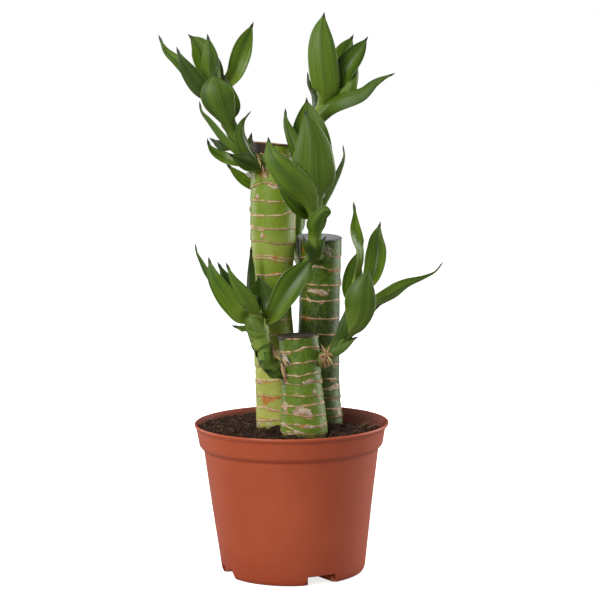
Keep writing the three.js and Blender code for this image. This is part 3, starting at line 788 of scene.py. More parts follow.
def onto_cane(cane, across, down):
    """(angle, height) on a cane's skin of a place in the picture. Angle 270 faces the viewer."""
    depth = cane["depth"] - FIRST_GUESS
    for _ in range(ROUNDS):
        x, _, z = seen(across, down, depth)
        radius = float(between(cane["radius"], z))
        off = float(np.clip((x - between(cane["axis"], z)) / radius, -0.999, 0.999))
        depth = cane["depth"] - radius * math.sqrt(1 - off * off)
    return math.degrees(math.atan2(-math.sqrt(1 - off * off), off)) % 360, z


# %% The scars of each cane
# Each ring runs over the cane's front from left to right, as places in the picture. A branch is a
# short piece of scar.
SCARS = {
    "tall": dict(
        rings=[
            [(250, 155), (262, 153.5), (280, 156), (289, 155.5)],
            [(250, 170), (262, 168), (280, 170), (290, 171)],
            [(250.5, 188), (254, 186), (262, 182.4), (270.6, 183), (277, 185.2), (292, 186)],
            [(251, 200.3), (262, 200.2), (268, 201.6), (286, 201.5), (296, 200)],
            [(251, 215), (266.5, 215.7), (282, 215.2), (288, 212.4), (293.5, 211), (297, 212)],
            [(250.5, 225), (255, 226.6), (263, 228.6), (268, 228.6), (280, 229), (297, 227.2)],
            [(251, 240.4), (263, 240.8), (273, 243.2), (282, 244), (297, 242.6)],
            [(253, 257.8), (266.5, 257.7), (272, 258.4), (276.5, 260.4), (286, 261.6), (296, 260.8)],
            [(254, 273), (266.5, 275.7), (278, 273.8), (294, 272.5)],
            [(255, 290), (270, 291.5), (292, 289)],
            [(256, 304), (270, 306), (292, 305)],
            [(256, 321), (274, 320), (292, 319)],
            [(256, 334), (272, 335.5), (292, 334)],
            [(256, 350.5), (270, 350), (292, 349.5)],
            [(256, 366.5), (264, 366.5), (276, 366), (292, 365)],
            [(256, 379.2), (264, 380.5), (272, 380.4), (281, 380.2), (292, 381)],
            [(256, 395.6), (264, 395.3), (271.6, 397), (280, 397.7), (292, 396)],
            [(256, 407.5), (264, 407.2), (268, 408.6), (275.4, 410.4), (281, 411.4), (292, 410)],
            [(256, 419.6), (268, 420.4), (278, 419.4), (292, 421)],
        ],
        branches=[
            [(268.5, 185.2), (274, 187.6), (278, 186.6)], [(251, 228), (256, 229), (262.5, 230.4)],
            [(262, 230), (262.3, 233.6)],
            [(256.6, 255), (266.5, 255.3), (275, 256.6), (282, 258), (293, 259)],
            [(257, 382), (262.6, 383.4), (264.5, 381)], [(293.5, 212), (294.6, 216), (296.6, 213)],
            [(265, 408), (262, 405), (261, 400)],
        ],
    ),
    "middle": dict(
        rings=[
            [(297, 257.5), (312, 257), (328, 256.5), (342, 256.3)],
            [(297, 265.5), (311, 266.2), (320.5, 266.9), (328, 269.2), (341, 270.4)],
            [(297, 283.6), (304, 284), (312, 284.7), (325, 285.4), (342, 284.9)],
            [(297, 298.6), (306.4, 298.8), (311.8, 300.8), (320.5, 301.7), (332, 300.4), (341, 299)],
            [(298, 317), (304, 316.9), (312, 318.7), (320, 318.8), (341, 318)],
            [(298, 334), (318, 334.4), (341, 334.6)],
            [(298, 350), (318, 349.5), (341, 350)],
            [(298, 364), (318, 365), (341, 363)],
            [(298, 378), (322, 378.5), (341, 379.1)],
            [(298, 391), (324, 389.6), (332, 386.6), (341, 383.4)],
            [(298, 398), (325.6, 398), (342, 397.6)],
            [(298, 409), (327, 409), (342, 407.9)],
            [(298, 418), (327.7, 417.4), (343, 415.2)],
        ],
        branches=[
            [(304, 284.8), (308.4, 289.2), (315, 292.5), (322.5, 295.6), (328, 292.4)],
            [(305, 286.2), (311, 288.8), (319, 292.8), (326, 293)],
            [(306.6, 295), (308.4, 299), (312, 301)], [(330, 388.6), (337, 388.4), (341, 387)],
            [(337, 409), (338.6, 414.6), (341, 412)],
        ],
    ),
    "short": dict(
        rings=[
            [(280, 338.8), (289, 339), (298, 339), (304.6, 337.2), (316.5, 336.4), (320, 336.6)],
            [(280, 352.7), (290.5, 351.8), (298.2, 350.4), (303.2, 347.6), (310.2, 346.8), (321, 346.8)],
            [(280, 360.6), (289, 363.8), (298.2, 363.4), (310, 361.3), (321, 359.4)],
            [(280, 376.6), (288.4, 375.4), (299.6, 376.2), (310.2, 373.3), (321, 371.2)],
            [(280, 381.4), (292.6, 384), (303.2, 385.1), (307.4, 382.4), (312.3, 380.7), (322, 382.8)],
            [(280, 393.4), (292.6, 395.3), (303.2, 396.4), (313.7, 395.7), (324, 394)],
            [(280, 407), (288.4, 406.2), (299.6, 406), (306.7, 405.8), (317.2, 403.7), (325, 402.4)],
            [(280, 411.8), (290.5, 414.3), (298.2, 415.4), (306.7, 416.8), (317.2, 415.3), (326, 414.5)],
            [(280, 423.2), (289, 424), (298.2, 424.7), (305.3, 427.4), (313.7, 426.7), (326, 423.2)],
            [(280, 431.6), (289, 434), (298.2, 433.5), (317, 434.6), (327, 433)],
        ],
        branches=[
            [(283, 362), (284.4, 369), (284, 376), (286, 381)], [(286, 361), (287, 366), (285, 374)],
            [(306, 383.4), (309, 378.6), (312.6, 381)], [(282, 404), (284, 409), (288, 413)],
            [(282, 424), (290, 427.6), (297, 431.4), (303, 433)],
            [(298, 408.4), (303, 407.6), (308, 411), (312, 415)],
            [(318, 395), (321, 400.5), (324.4, 402)],
        ],
    ),
}

# %% Stains, papery flakes and buds
# across and down in the picture, half width and half height in mm, and how strong the mark is
MARKS = {
    "tall": dict(
        stain=[
            (266.5, 398.5, 4.2, 2.0, 1.0), (264, 402.5, 1.9, 2.2, 0.8), (259, 382, 3.4, 1.5, 0.7),
            (276, 397.6, 3, 0.9, 0.9), (267, 383, 3, 0.8, 0.6), (256.4, 197.6, 0.9, 1.6, 1.0),
            (264.4, 236.4, 0.8, 1.6, 0.9), (276, 257.6, 2.2, 0.8, 1.0), (275.7, 262.6, 1.5, 0.8, 0.9),
            (276, 273.2, 3.4, 0.6, 0.9), (266, 420, 8, 0.9, 0.9), (273, 411, 4, 0.7, 0.8),
            (252, 214, 0.9, 3.0, 0.3), (264, 174, 4.2, 2.6, 0.6),
        ],
        flake=[
            (294.4, 219, 1.5, 5.4, 0.75), (252, 226.6, 2.2, 1.2, 0.7), (265, 175, 2, 1.4, 0.6),
            (274, 187, 2.2, 0.9, 0.7), (259, 381, 2, 0.7, 0.8), (258, 424.5, 3, 2.0, 0.5),
            (270, 424, 3, 1.6, 0.4),
        ],
        bud=[(258.2, 196.6, 1.1, 1.7, 1.0), (262.4, 236, 0.9, 1.6, 0.9), (249.6, 209, 1.1, 1.6, 0.9)],
    ),
    "middle": dict(
        stain=[
            (336, 270.4, 4.4, 1.3, 0.7), (341, 283, 1.2, 3.4, 1.0), (307, 318.2, 6, 1.3, 0.6),
            (333, 397.8, 4, 0.8, 0.6), (316, 291.6, 6, 1.5, 0.5), (303.6, 249.6, 1.4, 2.4, 0.6),
        ],
        flake=[
            (326, 251, 1.9, 3.4, 0.95), (329, 254, 1.6, 1.6, 0.8), (336, 386.2, 4.0, 1.9, 0.85),
            (331, 388.8, 3.4, 0.9, 0.7), (316.4, 291.4, 6.2, 1.1, 0.85), (324, 294, 2.6, 1.0, 0.9),
            (339, 412, 1.7, 2.6, 0.8), (313, 266.3, 3.4, 0.8, 0.7),
        ],
        bud=[(341.6, 282.6, 1.0, 2.6, 0.8)],
    ),
    "short": dict(
        stain=[
            (284.6, 378, 2.2, 1.8, 0.7), (286, 408, 2.4, 2.2, 0.6), (302, 414.8, 2.2, 1.0, 0.9),
            (302.5, 426.4, 3.4, 1.0, 0.9), (300, 336.6, 4.6, 0.7, 0.8), (324, 358, 2.2, 3.4, 0.6),
            (308, 382.4, 2.4, 0.9, 0.6),
        ],
        flake=[
            (302, 411.4, 5.0, 2.0, 1.0), (308, 413.6, 3.0, 1.7, 0.9), (285.6, 359.4, 2.2, 2.2, 0.95),
            (288, 362, 1.8, 1.2, 0.8), (284.6, 371.6, 0.9, 4.4, 0.8), (309, 382, 3.0, 1.3, 0.95),
            (285.4, 407, 2.2, 2.6, 0.85), (284.4, 425, 2.6, 1.1, 0.8), (309.4, 427, 3.0, 1.1, 0.95),
            (314.6, 391.4, 1.2, 1.6, 0.6), (296, 431.8, 3.0, 0.9, 0.6),
        ],
        bud=[],
    ),
}

# %% Wrap a scar round its cane
BACK_WANDER = 1.5  # mm


def wrapped(cane, line, seed, branch):
    """Heights of a scar at every degree round the cane, and how strong it is there, from 0 to 1."""
    angles, heights = zip(*(onto_cane(cane, *place) for place in line))
    degree = np.arange(361.0)
    if branch:
        far = np.maximum(np.min(angles) - degree, degree - np.max(angles))
        order = np.argsort(angles)
        return np.interp(degree, np.array(angles)[order], np.array(heights)[order]), smooth(-far, -6, 0)
    first, last = (180.0, heights[0]), (360.0, heights[-1])
    front = sorted([first, *zip(angles[1:-1], heights[1:-1]), last])
    places, values = zip(*front)
    height = np.interp(degree, places, values)
    behind = degree <= 180
    share = degree / 180
    turn = np.radians(degree)
    circle = np.stack([np.cos(turn), np.sin(turn), np.full_like(turn, seed)], -1)
    wander = BACK_WANDER * 2 * ripple(circle, 0.8, seed) * np.sin(turn)
    height = np.where(behind, mix(values[-1], values[0], share) + wander, height)
    return height, np.ones_like(degree)


# %% The cut at a cane's top
def cut_rise(cane, x, y):
    """How far the cut lies above its middle height, at a place across and behind the cane's axis."""
    return cane["slant"] * x + cane["nod"] * y


# %% Where stains, flakes and buds lie on a cane
def spots_on(cane, spots, kind, degree, z, base, ragged):
    total = np.zeros_like(z)
    for across, down, wide, high, strength in spots:
        angle, middle = onto_cane(cane, across, down)
        sideways = np.radians((degree - angle + 180) % 360 - 180) * base
        away = np.hypot(sideways / wide, (z - middle) / high)
        away = away + (0 if kind == "bud" else 1) * ragged
        total = np.maximum(total, strength * smooth(-away, -1.25, -0.55))
    return total


# %% Where the scars lie on a cane
SCAR_HALF = 0.44  # mm, half the width of a scar


def scar_marks(cane, scars, seed, degree, z, fine, middling, rough):
    """How corky and how creased the skin is, its tone between scars, and the steps in its girth."""
    chance = np.random.default_rng(int(seed))
    scar, crease, tone, steps = (np.zeros_like(z) for _ in range(4))
    for i, line in enumerate(scars["rings"] + scars["branches"]):
        branch = i >= len(scars["rings"])
        height, strength = wrapped(cane, line, seed + i, branch)
        height, strength = (np.interp(degree, np.arange(361), values) for values in (height, strength))
        off = z - height - 0.25 * fine - 0.3 * middling
        half = SCAR_HALF * (0.75 if branch else 1) * np.clip(1 + 0.7 * rough + 0.5 * middling, 0.65, 1.7)
        strength = strength * np.clip(1.05 + 0.8 * middling + 0.4 * rough, 0.62, 1)
        scar = np.maximum(scar, np.exp(-((off / half) ** 2)) * strength)
        beside = off - (1.15 + 0.5 * rough) * (1 if chance.random() < 0.3 else -1)
        double = strength * smooth(rough + chance.uniform(-0.2, 0.2), 0.1, 0.4)
        scar = np.maximum(scar, 0.8 * np.exp(-((beside / (0.5 * half)) ** 2)) * double * (0 if branch else 1))
        crease = np.maximum(crease, np.exp(-(((off + 1.5 * half) / (0.5 * half)) ** 2)) * strength)
        if not branch:
            tone = np.where(z < height, np.sin(i * 2.4 + seed), tone)
            steps = steps + chance.uniform(-0.25, 0.55) * np.tanh(off / 0.7) * np.exp(-np.abs(off) / 3.5)
    return scar, crease, tone, steps


# %% A cane's mesh and its marks
CANE_SIDES = 176
ROW_PITCH = 0.42  # mm from ring to ring
LEVELLING = 24  # mm below the cut, over which the rings turn to lie level with it
SCAR_RISE, CREASE_DEPTH, FLAKE_RISE, BUD_RISE = 0.17, 0.12, 0.16, 0.8
STREAK = 40  # mm along a cane or stem that its streaks take as one


def cane_skin(name, seed):
    cane, scars = CANES[name], SCARS[name]
    top = cane["top"]
    heights = np.arange(CANE_BOTTOM, top - 0.1, ROW_PITCH)
    degree = np.linspace(0, 360, CANE_SIDES, endpoint=False)
    turn = np.radians(degree)
    z = np.repeat(heights[:, None], CANE_SIDES, 1)
    base = between(cane["radius"], z)
    z = z + cut_rise(cane, base * np.cos(turn), base * np.sin(turn)) * smooth(z, top - LEVELLING, top)
    place = np.stack([base * np.cos(turn), base * np.sin(turn), z], -1)
    fine, middling = ripple(place, 1.2, seed), ripple(place, 2.6, seed + 3)
    rough, broad = ripple(place, 5.0, seed + 1), ripple(place * [1, 1, 0.5], 16.0, seed + 2)
    scar, crease, tone, steps = scar_marks(cane, scars, seed, degree, z, fine, middling, rough)
    ragged = 0.5 * fine + 0.6 * middling + 0.4 * rough
    kinds = MARKS[name].items()
    stain, flake, bud = (spots_on(cane, spots, kind, degree, z, base, ragged) for kind, spots in kinds)
    flake = np.maximum(flake, bud)
    rise = SCAR_RISE * scar - CREASE_DEPTH * crease + FLAKE_RISE * flake * (1 + fine) + BUD_RISE * bud + steps
    radius = base + rise + 0.2 * broad + 0.06 * rough + 0.03 * fine
    radius = radius - 0.5 * smooth(z, top - 1.0, top) ** 2
    across = between(cane["axis"], z) + radius * np.cos(turn)
    rings = np.stack([across, cane["depth"] + radius * np.sin(turn), z], -1)
    swirl = np.stack([np.cos(turn) * np.ones_like(z), np.sin(turn) * np.ones_like(z), z / STREAK], -1)
    marks = {
        "scar": scar, "crease": crease, "flake": flake, "stain": stain,
        "tone": 0.5 + 0.25 * tone + 0.35 * broad, "ripe": RIPENESS[name](z), "swirl": swirl,
    }
    pith = rings[-1].mean(0)  # the cut itself, hollowed a little under the wax
    hollow = [mix(pith, rings[-1], share) - [0, 0, depth] for share, depth in ((0.86, 0.9), (0.4, 1.8))]
    rings = np.concatenate([rings, hollow])
    marks = {key: np.concatenate([values, values[-1:], values[-1:]]) for key, values in marks.items()}
    print("cane", name, "rings", len(heights), "turns of", CANE_SIDES, "scars", len(scars["rings"]))
    return skin(rings, marks)


# %% How ripe the skin is: 0 is deep green and 1 is yellow-green
RIPENESS = {
    "tall": lambda z: mix(1.0, 0.5, smooth(z, 92, 190)) + 0.16 * smooth(z, 188, 200) * smooth(-z, -216, -206),
    "middle": lambda z: mix(0.12, 0.0, smooth(z, 90, 150)) + 0.16 * smooth(z, 150, 190),
    "short": lambda z: mix(0.42, 0.26, smooth(z, 90, 140)),
}

# %% [markdown]
# ### Green cane skin
#
# The skin is green and faintly waxy, with fine streaks that run up the cane and a tone of its own
# between each pair of scars. The oldest wood near the soil turns yellow. Scars are tan cork with a
# dark crease below them, flakes are whitish and papery, and old wounds are stained orange-brown. The
# marks on the mesh say where each is, and noise breaks their edges up more finely than the mesh can.

# %% The canes' material
def cane_nodes(tree):
    place = here(tree)
    lines = use(tree, LINES, Place=mark(tree, "swirl", vector=True), Lines=9.0, Drift=1.4)
    grain = use(tree, PITS, Place=place, Scale=1300.0)
    ripe = [
        (0.0, paint(44, 68, 12)), (0.25, paint(80, 112, 14)), (0.5, paint(128, 152, 34)),
        (1.0, paint(206, 204, 104)),
    ]
    colour = ramp(tree, mark(tree, "ripe"), ripe)
    shade = blend(tree, mark(tree, "tone"), paint(206, 214, 196), paint(255, 255, 255))
    colour = blend(tree, 0.9, colour, shade, "MULTIPLY")
    colour = tint(tree, colour, lines["Bands"], 0.25, paint(150, 168, 62))
    colour = tint(tree, colour, lines["Hairlines"], 0.16, paint(44, 70, 20))
    stain = reckon(tree, "MULTIPLY", mark(tree, "stain"), mix_values(tree, grain["Mottle"], 0.75, 1.0))
    colour = blend(tree, stain, colour, blend(tree, grain["Mottle"], paint(168, 74, 28), paint(206, 124, 60)))
    colour = tint(tree, colour, mark(tree, "crease"), 0.5, paint(96, 62, 34))
    colour = blend(tree, stretch(tree, mark(tree, "scar"), 0.08, 0.3, 0.0, 0.45), colour, paint(142, 100, 52))
    cork = blend(tree, grain["Mottle"], paint(184, 138, 100), paint(224, 196, 158))
    colour = blend(tree, stretch(tree, mark(tree, "scar"), 0.3, 0.6), colour, cork)
    paper = blend(tree, grain["Mottle"], paint(160, 122, 98), paint(212, 194, 170))
    colour = blend(tree, stretch(tree, mark(tree, "flake"), 0.1, 0.6), colour, paper)
    earth = use(tree, EARTH, Place=place, Level=0.0865, Reach=0.007)["Mask"]
    colour = tint(tree, colour, earth, 0.8, paint(58, 38, 26))
    corky = reckon(tree, "MAXIMUM", mark(tree, "scar"), mark(tree, "flake"))
    rough = mix_values(tree, corky, 0.42, 0.8)
    streaks = reckon(tree, "MULTIPLY", lines["Hairlines"], 0.35)
    height = reckon(tree, "ADD", streaks, reckon(tree, "MULTIPLY", grain["Mottle"], corky))
    return {"Base Color": colour, "Roughness": rough, "Normal": bump(tree, height, 0.35, 0.25)}


CANE_SKIN = finish_material("green_cane", cane_nodes, Specular_IOR_Level=0.34)
for seed, name in enumerate(CANES):
    make_piece("ringed_cane_" + name, cane_skin(name, 11.0 + 3 * seed), CANE_SKIN, "cane_" + name)

# %% [markdown]
# ## The wax on the cuts
#
# A grower cuts a cane flat and dips the end in wax, so that it neither dries out nor rots. The wax is
# a thin film: smooth and greyish-lavender on the middle cane, dark and pitted on the short one, and
# brown and dried on the tall one. It reaches a little down the side, further where it ran. It is
# modelled as a cap whose lower edge is given round the cane, with its rim rounded.

# %% The caps of wax
# the tone of the wax, 0 dark to 1 lavender, how deep it is dished, and how far it runs down the side,
# in mm, at each angle
WAX = {
    "tall": dict(
        tone=0.02, dish=0.5,
        runs=[(0, 0.8), (70, 1.6), (150, 3.4), (190, 6.0), (235, 7.0), (256, 5.6), (272, 1.0), (320, 0.6),
              (360, 0.8)],
    ),
    "middle": dict(
        tone=0.9, dish=0.15,
        runs=[(0, 0.8), (90, 1.0), (165, 2.0), (186, 9), (196, 13.5), (206, 9), (220, 1.6), (300, 0.8),
              (360, 0.8)],
    ),
    "short": dict(
        tone=0.28, dish=0.9,
        runs=[(0, 0.6), (90, 1.0), (190, 1.4), (215, 2.2), (240, 0.55), (345, 0.55), (360, 0.6)],
    ),
}
WAX_FILM = 0.3
WAX_TOP = 0.35  # mm above the cut
WAX_SIDE_RINGS, WAX_TOP_RINGS = 12, 26


def wax_cap(name, seed):
    cane, wax = CANES[name], WAX[name]
    degree = np.linspace(0, 360, CANE_SIDES, endpoint=False)
    turn = np.radians(degree)
    girth = float(between(cane["radius"], cane["top"]))
    circle = np.stack([girth * np.cos(turn), girth * np.sin(turn), np.zeros_like(turn)], -1)
    runs = between(wax["runs"], degree) * (1 + 0.35 * ripple(circle, 2.2, seed))
    slant = cut_rise(cane, girth * np.cos(turn), girth * np.sin(turn))
    top = cane["top"] + WAX_TOP
    rings, tones = [], []

    def ring(radius, height, tone=0.0):
        lumps = 0.12 * ripple(circle * (radius / girth)[:, None] + [0, 0, height.mean()], 1.6, seed + 1)
        level = height + slant * radius / girth + lumps
        rings.append(np.stack([radius * np.cos(turn), radius * np.sin(turn), level], -1))
        tones.append(np.full(CANE_SIDES, wax["tone"] + tone))

    low = top - runs
    ring(between(cane["radius"], low) - 1.2, low + 0.3)
    # The film down the side is given a darker tone than the top, and the rim a little darker.
    for share in np.linspace(0, 1, WAX_SIDE_RINGS):
        height = mix(low, np.full_like(low, top - 0.5), share)
        film = WAX_FILM * (0.2 if share == 0 else 1)
        ring(between(cane["radius"], height) + film + 0.1, height, tone=-0.3)
    for radius, height in ((0.12, -0.2), (-0.3, 0.0), (-0.9, -0.05)):
        ring(np.full_like(turn, girth + radius), np.full_like(turn, top + height), tone=-0.12)
    for radius in np.linspace(girth - 1.6, 0.4, WAX_TOP_RINGS):
        dish = wax["dish"] * smooth(girth - radius, 0.8, 4.0)
        ring(np.full_like(turn, radius), np.full_like(turn, top - 0.1 - dish))
    rings = np.array(rings) + [float(between(cane["axis"], top)), cane["depth"], 0]
    tones = np.array(tones) + 0.12 * ripple(rings, 3.0, seed + 2)
    return skin(rings, {"tone": tones})


# %% The wax's material
def wax_nodes(tree):
    pores = use(tree, PITS, Place=here(tree), Scale=900.0)
    stops = [
        (0.0, paint(58, 44, 30)), (0.3, paint(60, 55, 50)), (0.6, paint(112, 110, 112)),
        (1.0, paint(184, 183, 194)),
    ]
    colour = ramp(tree, mark(tree, "tone"), stops)
    colour = tint(tree, colour, pores["Mottle"], 0.35, paint(84, 66, 54))
    rough = mix_values(tree, pores["Pits"], 0.35, 0.62)
    return {"Base Color": colour, "Roughness": rough, "Normal": bump(tree, pores["Pits"], 0.35, 0.3)}


SEALING_WAX = finish_material("sealing_wax", wax_nodes, Specular_IOR_Level=0.3)
for seed, name in enumerate(CANES):
    make_piece("wax_cap_" + name, wax_cap(name, 31.0 + seed), SEALING_WAX, "wax_seal_" + name)

# %% [markdown]
# ## The shoots
#
# A shoot breaks from a bud near a cane's top, bends upwards and carries pointed leaves. Each leaf's
# base wraps the stem, opens into a shallow gutter and ends in a thin dark thread. Leaves could be cut
# from flat cards, but from the side a card is a line. So each leaf is a thin solid blade: its midrib
# follows places read off the picture, its width follows the real outline, and its section is curled,
# lightly fluted and thinner at its margins. The blade is also turned along its length, as a leaf's
# face is, where 0 faces the viewer, 90 is edge on and 180 shows the underside. Leaves differ, so each
# may set where it is widest, how slim its neck is, how its point is drawn out, how far up its pale
# base reaches, and how much sheath it has and how narrow that starts.

# %% A smooth line through points
LINE_STEPS = 40


def trace(points):
    """A dense smooth line through the points, and how far along it each of its own points is."""
    p = np.array(points, float)
    p = np.vstack([2 * p[0] - p[1], p, 2 * p[-1] - p[-2]])
    t = np.linspace(0, 1, LINE_STEPS, endpoint=False)[:, None]
    dense = []
    for a, b, c, d in zip(p, p[1:], p[2:], p[3:]):
        k0, k1, k2 = (math.sqrt(max(np.linalg.norm(r - q), 1e-6)) for q, r in ((a, b), (b, c), (c, d)))
        leaving = ((b - a) / k0 - (c - a) / (k0 + k1) + (c - b) / k1) * k1
        arriving = ((c - b) / k1 - (d - b) / (k1 + k2) + (d - c) / k2) * k1
        bend = -3 * b + 3 * c - 2 * leaving - arriving
        dense.append(b + leaving * t + bend * t**2 + (2 * b - 2 * c + leaving + arriving) * t**3)
    dense = np.vstack([*dense, p[-2]])
    reach = np.concatenate([[0], np.cumsum(np.linalg.norm(np.diff(dense, axis=0), axis=1))])
    return dense, reach


def along(line, shares):
    """Points at shares of a traced line's length, and its heading there."""
    dense, reach = line
    total, step = reach[-1], 0.004 * reach[-1]
    pick = lambda at: np.stack([np.interp(at, reach, dense[:, k]) for k in range(3)], -1)
    at = np.asarray(shares, float) * total
    heading = pick(np.minimum(at + step, total)) - pick(np.maximum(at - step, 0))
    return pick(at), heading / np.linalg.norm(heading, axis=-1, keepdims=True)


# %% Which way a leaf faces
def turned_face(at, heading, degrees):
    """The direction to the viewer, square to the heading, turned about it."""
    view = EYE - at
    view = view - heading * np.sum(view * heading, -1, keepdims=True)
    view /= np.linalg.norm(view, axis=-1, keepdims=True)
    turn = np.radians(degrees)[..., None]
    return view * np.cos(turn) + np.cross(heading, view) * np.sin(turn)


# %% The outline of a blade
NEEDLE = 3.2  # mm of narrow dark point at the tip
NEEDLE_ROOT, NEEDLE_TIP = 2.1, 0.4
BLUNT_PALER = 3.2  # mm of the dark point that a blunt tip is without


def blade_half(share, length, width, widest, blunt, neck, drawn):
    """Half the width: a neck above the sheath, widest before the middle, a drawn-out point."""
    needle = 0.0 if blunt else min(NEEDLE / length, 0.16)
    blade = np.clip(share / (1 - 0.6 * needle), 0, 1)
    swell = mix(neck, 1, smooth(blade, 0.04, widest))
    taper = 1 - np.clip((blade - widest) / (1 - widest), 0, 1) ** drawn
    body = width * swell * taper
    if blunt:
        return np.maximum(body, blunt * np.sqrt(np.clip((1 - share) / 0.12, 0.02, 1))) / 2
    point = mix(NEEDLE_ROOT, NEEDLE_TIP, smooth(share, 1 - needle, 1.0))
    return np.maximum(body, np.minimum(point, width)) / 2


# %% One leaf
ROWS = 54
FOOT_ROWS = (0.008, 0.016)  # extra rows near the start, as shares of the length
TIP_ROWS = (0.3, 0.8, 1.4)  # and in mm from the tip
ACROSS = 10  # steps from the midrib to each margin
MIDRIB_THICK, MARGIN_THICK, SHEATH_THICK = 0.75, 0.2, 0.7
SHEATH = 6.5  # mm of sheath round the stem below the place where the leaf leaves it
CLASP = math.radians(235)


def midrib_line(stem, girth, at, face, places, sheath):
    """The traced midrib, the share of it that is sheath, and the stem's radius there."""
    below = min(sheath, 0.85 * at * stem[1][-1])
    low, low_up = along(stem, at - below / stem[1][-1])
    root, up = along(stem, at)
    thick = between(girth, at) - 0.35
    low_inward, inward = (turned_face(p, d, np.array(float(face))) for p, d in ((low, low_up), (root, up)))
    start = low - low_inward * (thick - 0.55)
    rise = low + low_up * 1.2 - low_inward * (thick + 0.15)
    foot = root - inward * (thick + 0.3)
    collar = root - inward * (thick + 1.0) + up * 5
    midrib = trace([start, rise, foot, collar, *(seen(*place) for place in places)])
    return midrib, (below + 1) / midrib[1][-1], thick


def running_sum(values, places):
    """The area under each row of values, from the first place up to every place."""
    slices = (values[:, 1:] + values[:, :-1]) / 2 * np.diff(places)
    return np.concatenate([np.zeros((len(values), 1)), np.cumsum(slices, 1)], 1)


def two_faces(middle, side, facing, over, raised, tilt, thickness):
    """Rings round a thin blade: over its upper face from margin to margin and back under it."""
    faces = []
    for level in (1, -1):
        row = []
        for i in range(-ACROSS, ACROSS + 1):
            hand, k = (1 if i >= 0 else -1), abs(i)
            depth = level * thickness[:, k] / 2
            out = hand * (over[:, k] - depth * np.sin(tilt[:, k]))
            up = raised[hand][:, k] + depth * np.cos(tilt[:, k])
            row.append(middle + side * out[:, None] + facing * up[:, None])
        faces.append(row if level == 1 else row[::-1])
    return np.stack(faces[0] + faces[1], 1)


# A leaf's tone darkens or lightens it as a whole. It is partly the leaf's own colour and partly painted
# light: leaves that lie in shadow are given a low tone as painted shade, and lit ones a high tone.
def leaf(stem, girth, number, at, width, face, places, widest=0.42, blunt=0.0, fold=17, gutter=46,
         neck=0.56, tone=0.5, pale=1.0, drawn=2.0, sheath=SHEATH, foot=0.8):
    """A leaf as a closed skin; its number seeds its flutes, its waves and its tone."""
    chance = np.random.default_rng(number)
    midrib, held, thick = midrib_line(stem, girth, at, face[0], places, sheath)
    length = midrib[1][-1]
    share = np.concatenate([np.linspace(0, 1, ROWS), FOOT_ROWS, 1 - np.array(TIP_ROWS) / length])
    share = np.sort(share)
    free = np.clip((share - held) / (1 - held), 0, 1)  # along the free blade alone
    middle, heading = along(midrib, share)
    facing = turned_face(middle, heading, np.interp(free, np.linspace(0, 1, len(face)), face))
    side = np.cross(heading, facing)
    opened = smooth(free, 0, 0.3)
    wrap = thick * mix(foot, 1, smooth(share, 0, max(0.06, (1 - foot) * held))) * CLASP / 2
    blade = blade_half(free, length * (1 - held), width, widest, blunt, neck, drawn)
    half = mix(wrap, blade, smooth(free, 0, 0.24))[:, None]
    curl = mix(CLASP, math.radians(gutter) * (1 - 0.6 * free), opened)[:, None] / 2
    lean = (math.radians(fold) * opened * (1 - 0.5 * free))[:, None]
    x = np.linspace(0, 1, ACROSS + 1)[None] ** 1.15
    tilt = lean * smooth(x, 0, 0.25) + curl * x
    over, rise = (half * running_sum(part, x[0]) for part in (np.cos(tilt), np.sin(tilt)))
    thickness = mix(mix(SHEATH_THICK, MIDRIB_THICK, opened)[:, None], MARGIN_THICK, x**0.8)
    thickness = np.minimum(thickness, half * 0.9 + 0.12)
    body = (opened * smooth(1 - free, 0.02, 0.3))[:, None]
    phase = chance.uniform(0, 2 * math.pi, 4)
    raised = {}
    for hand, own in zip((-1, 1), phase):
        flute = 0.016 * width * np.sin(x * 7.5 + own) * x * (1 - x**3)
        wave = 0.028 * width * x**2 * np.sin(free[:, None] * 8 + own + phase[2])
        groove = -0.1 * np.exp(-((x / 0.14) ** 2))
        raised[hand] = rise + body * (flute + wave + groove)
    rings = two_faces(middle, side, facing, over, raised, tilt, thickness)
    signed = np.concatenate([-x[0, :0:-1], x[0]])
    across = np.concatenate([signed, signed[::-1]])
    size = rings.shape[:2]
    upwards = np.repeat(share[:, None] ** pale, size[1], 1)
    marks = {
        "blade": np.stack([np.broadcast_to(across, size), upwards, np.full(size, chance.random())], -1),
        "to_tip": np.repeat(((1 - share) * length + (BLUNT_PALER if blunt else 0))[:, None], size[1], 1),
        "upper": np.broadcast_to(np.repeat([1.0, 0.0], len(signed)), size),
        "tone": np.full(size, tone + chance.uniform(-0.12, 0.12)),
        "free": np.repeat(opened[:, None], size[1], 1),
    }
    return skin(rings, marks)


# %% A stem with the rings that its sheaths leave
STEM_SIDES = 30
STEM_PITCH = 0.8  # mm from ring to ring
SEAM_HALF, SEAM_SLANT, SEAM_SWELL = 0.5, 1.1, 0.15  # mm, of the ring that each sheath leaves
UNDER_SHEATH = 0.8  # mm that the stem is thinner than with its sheaths


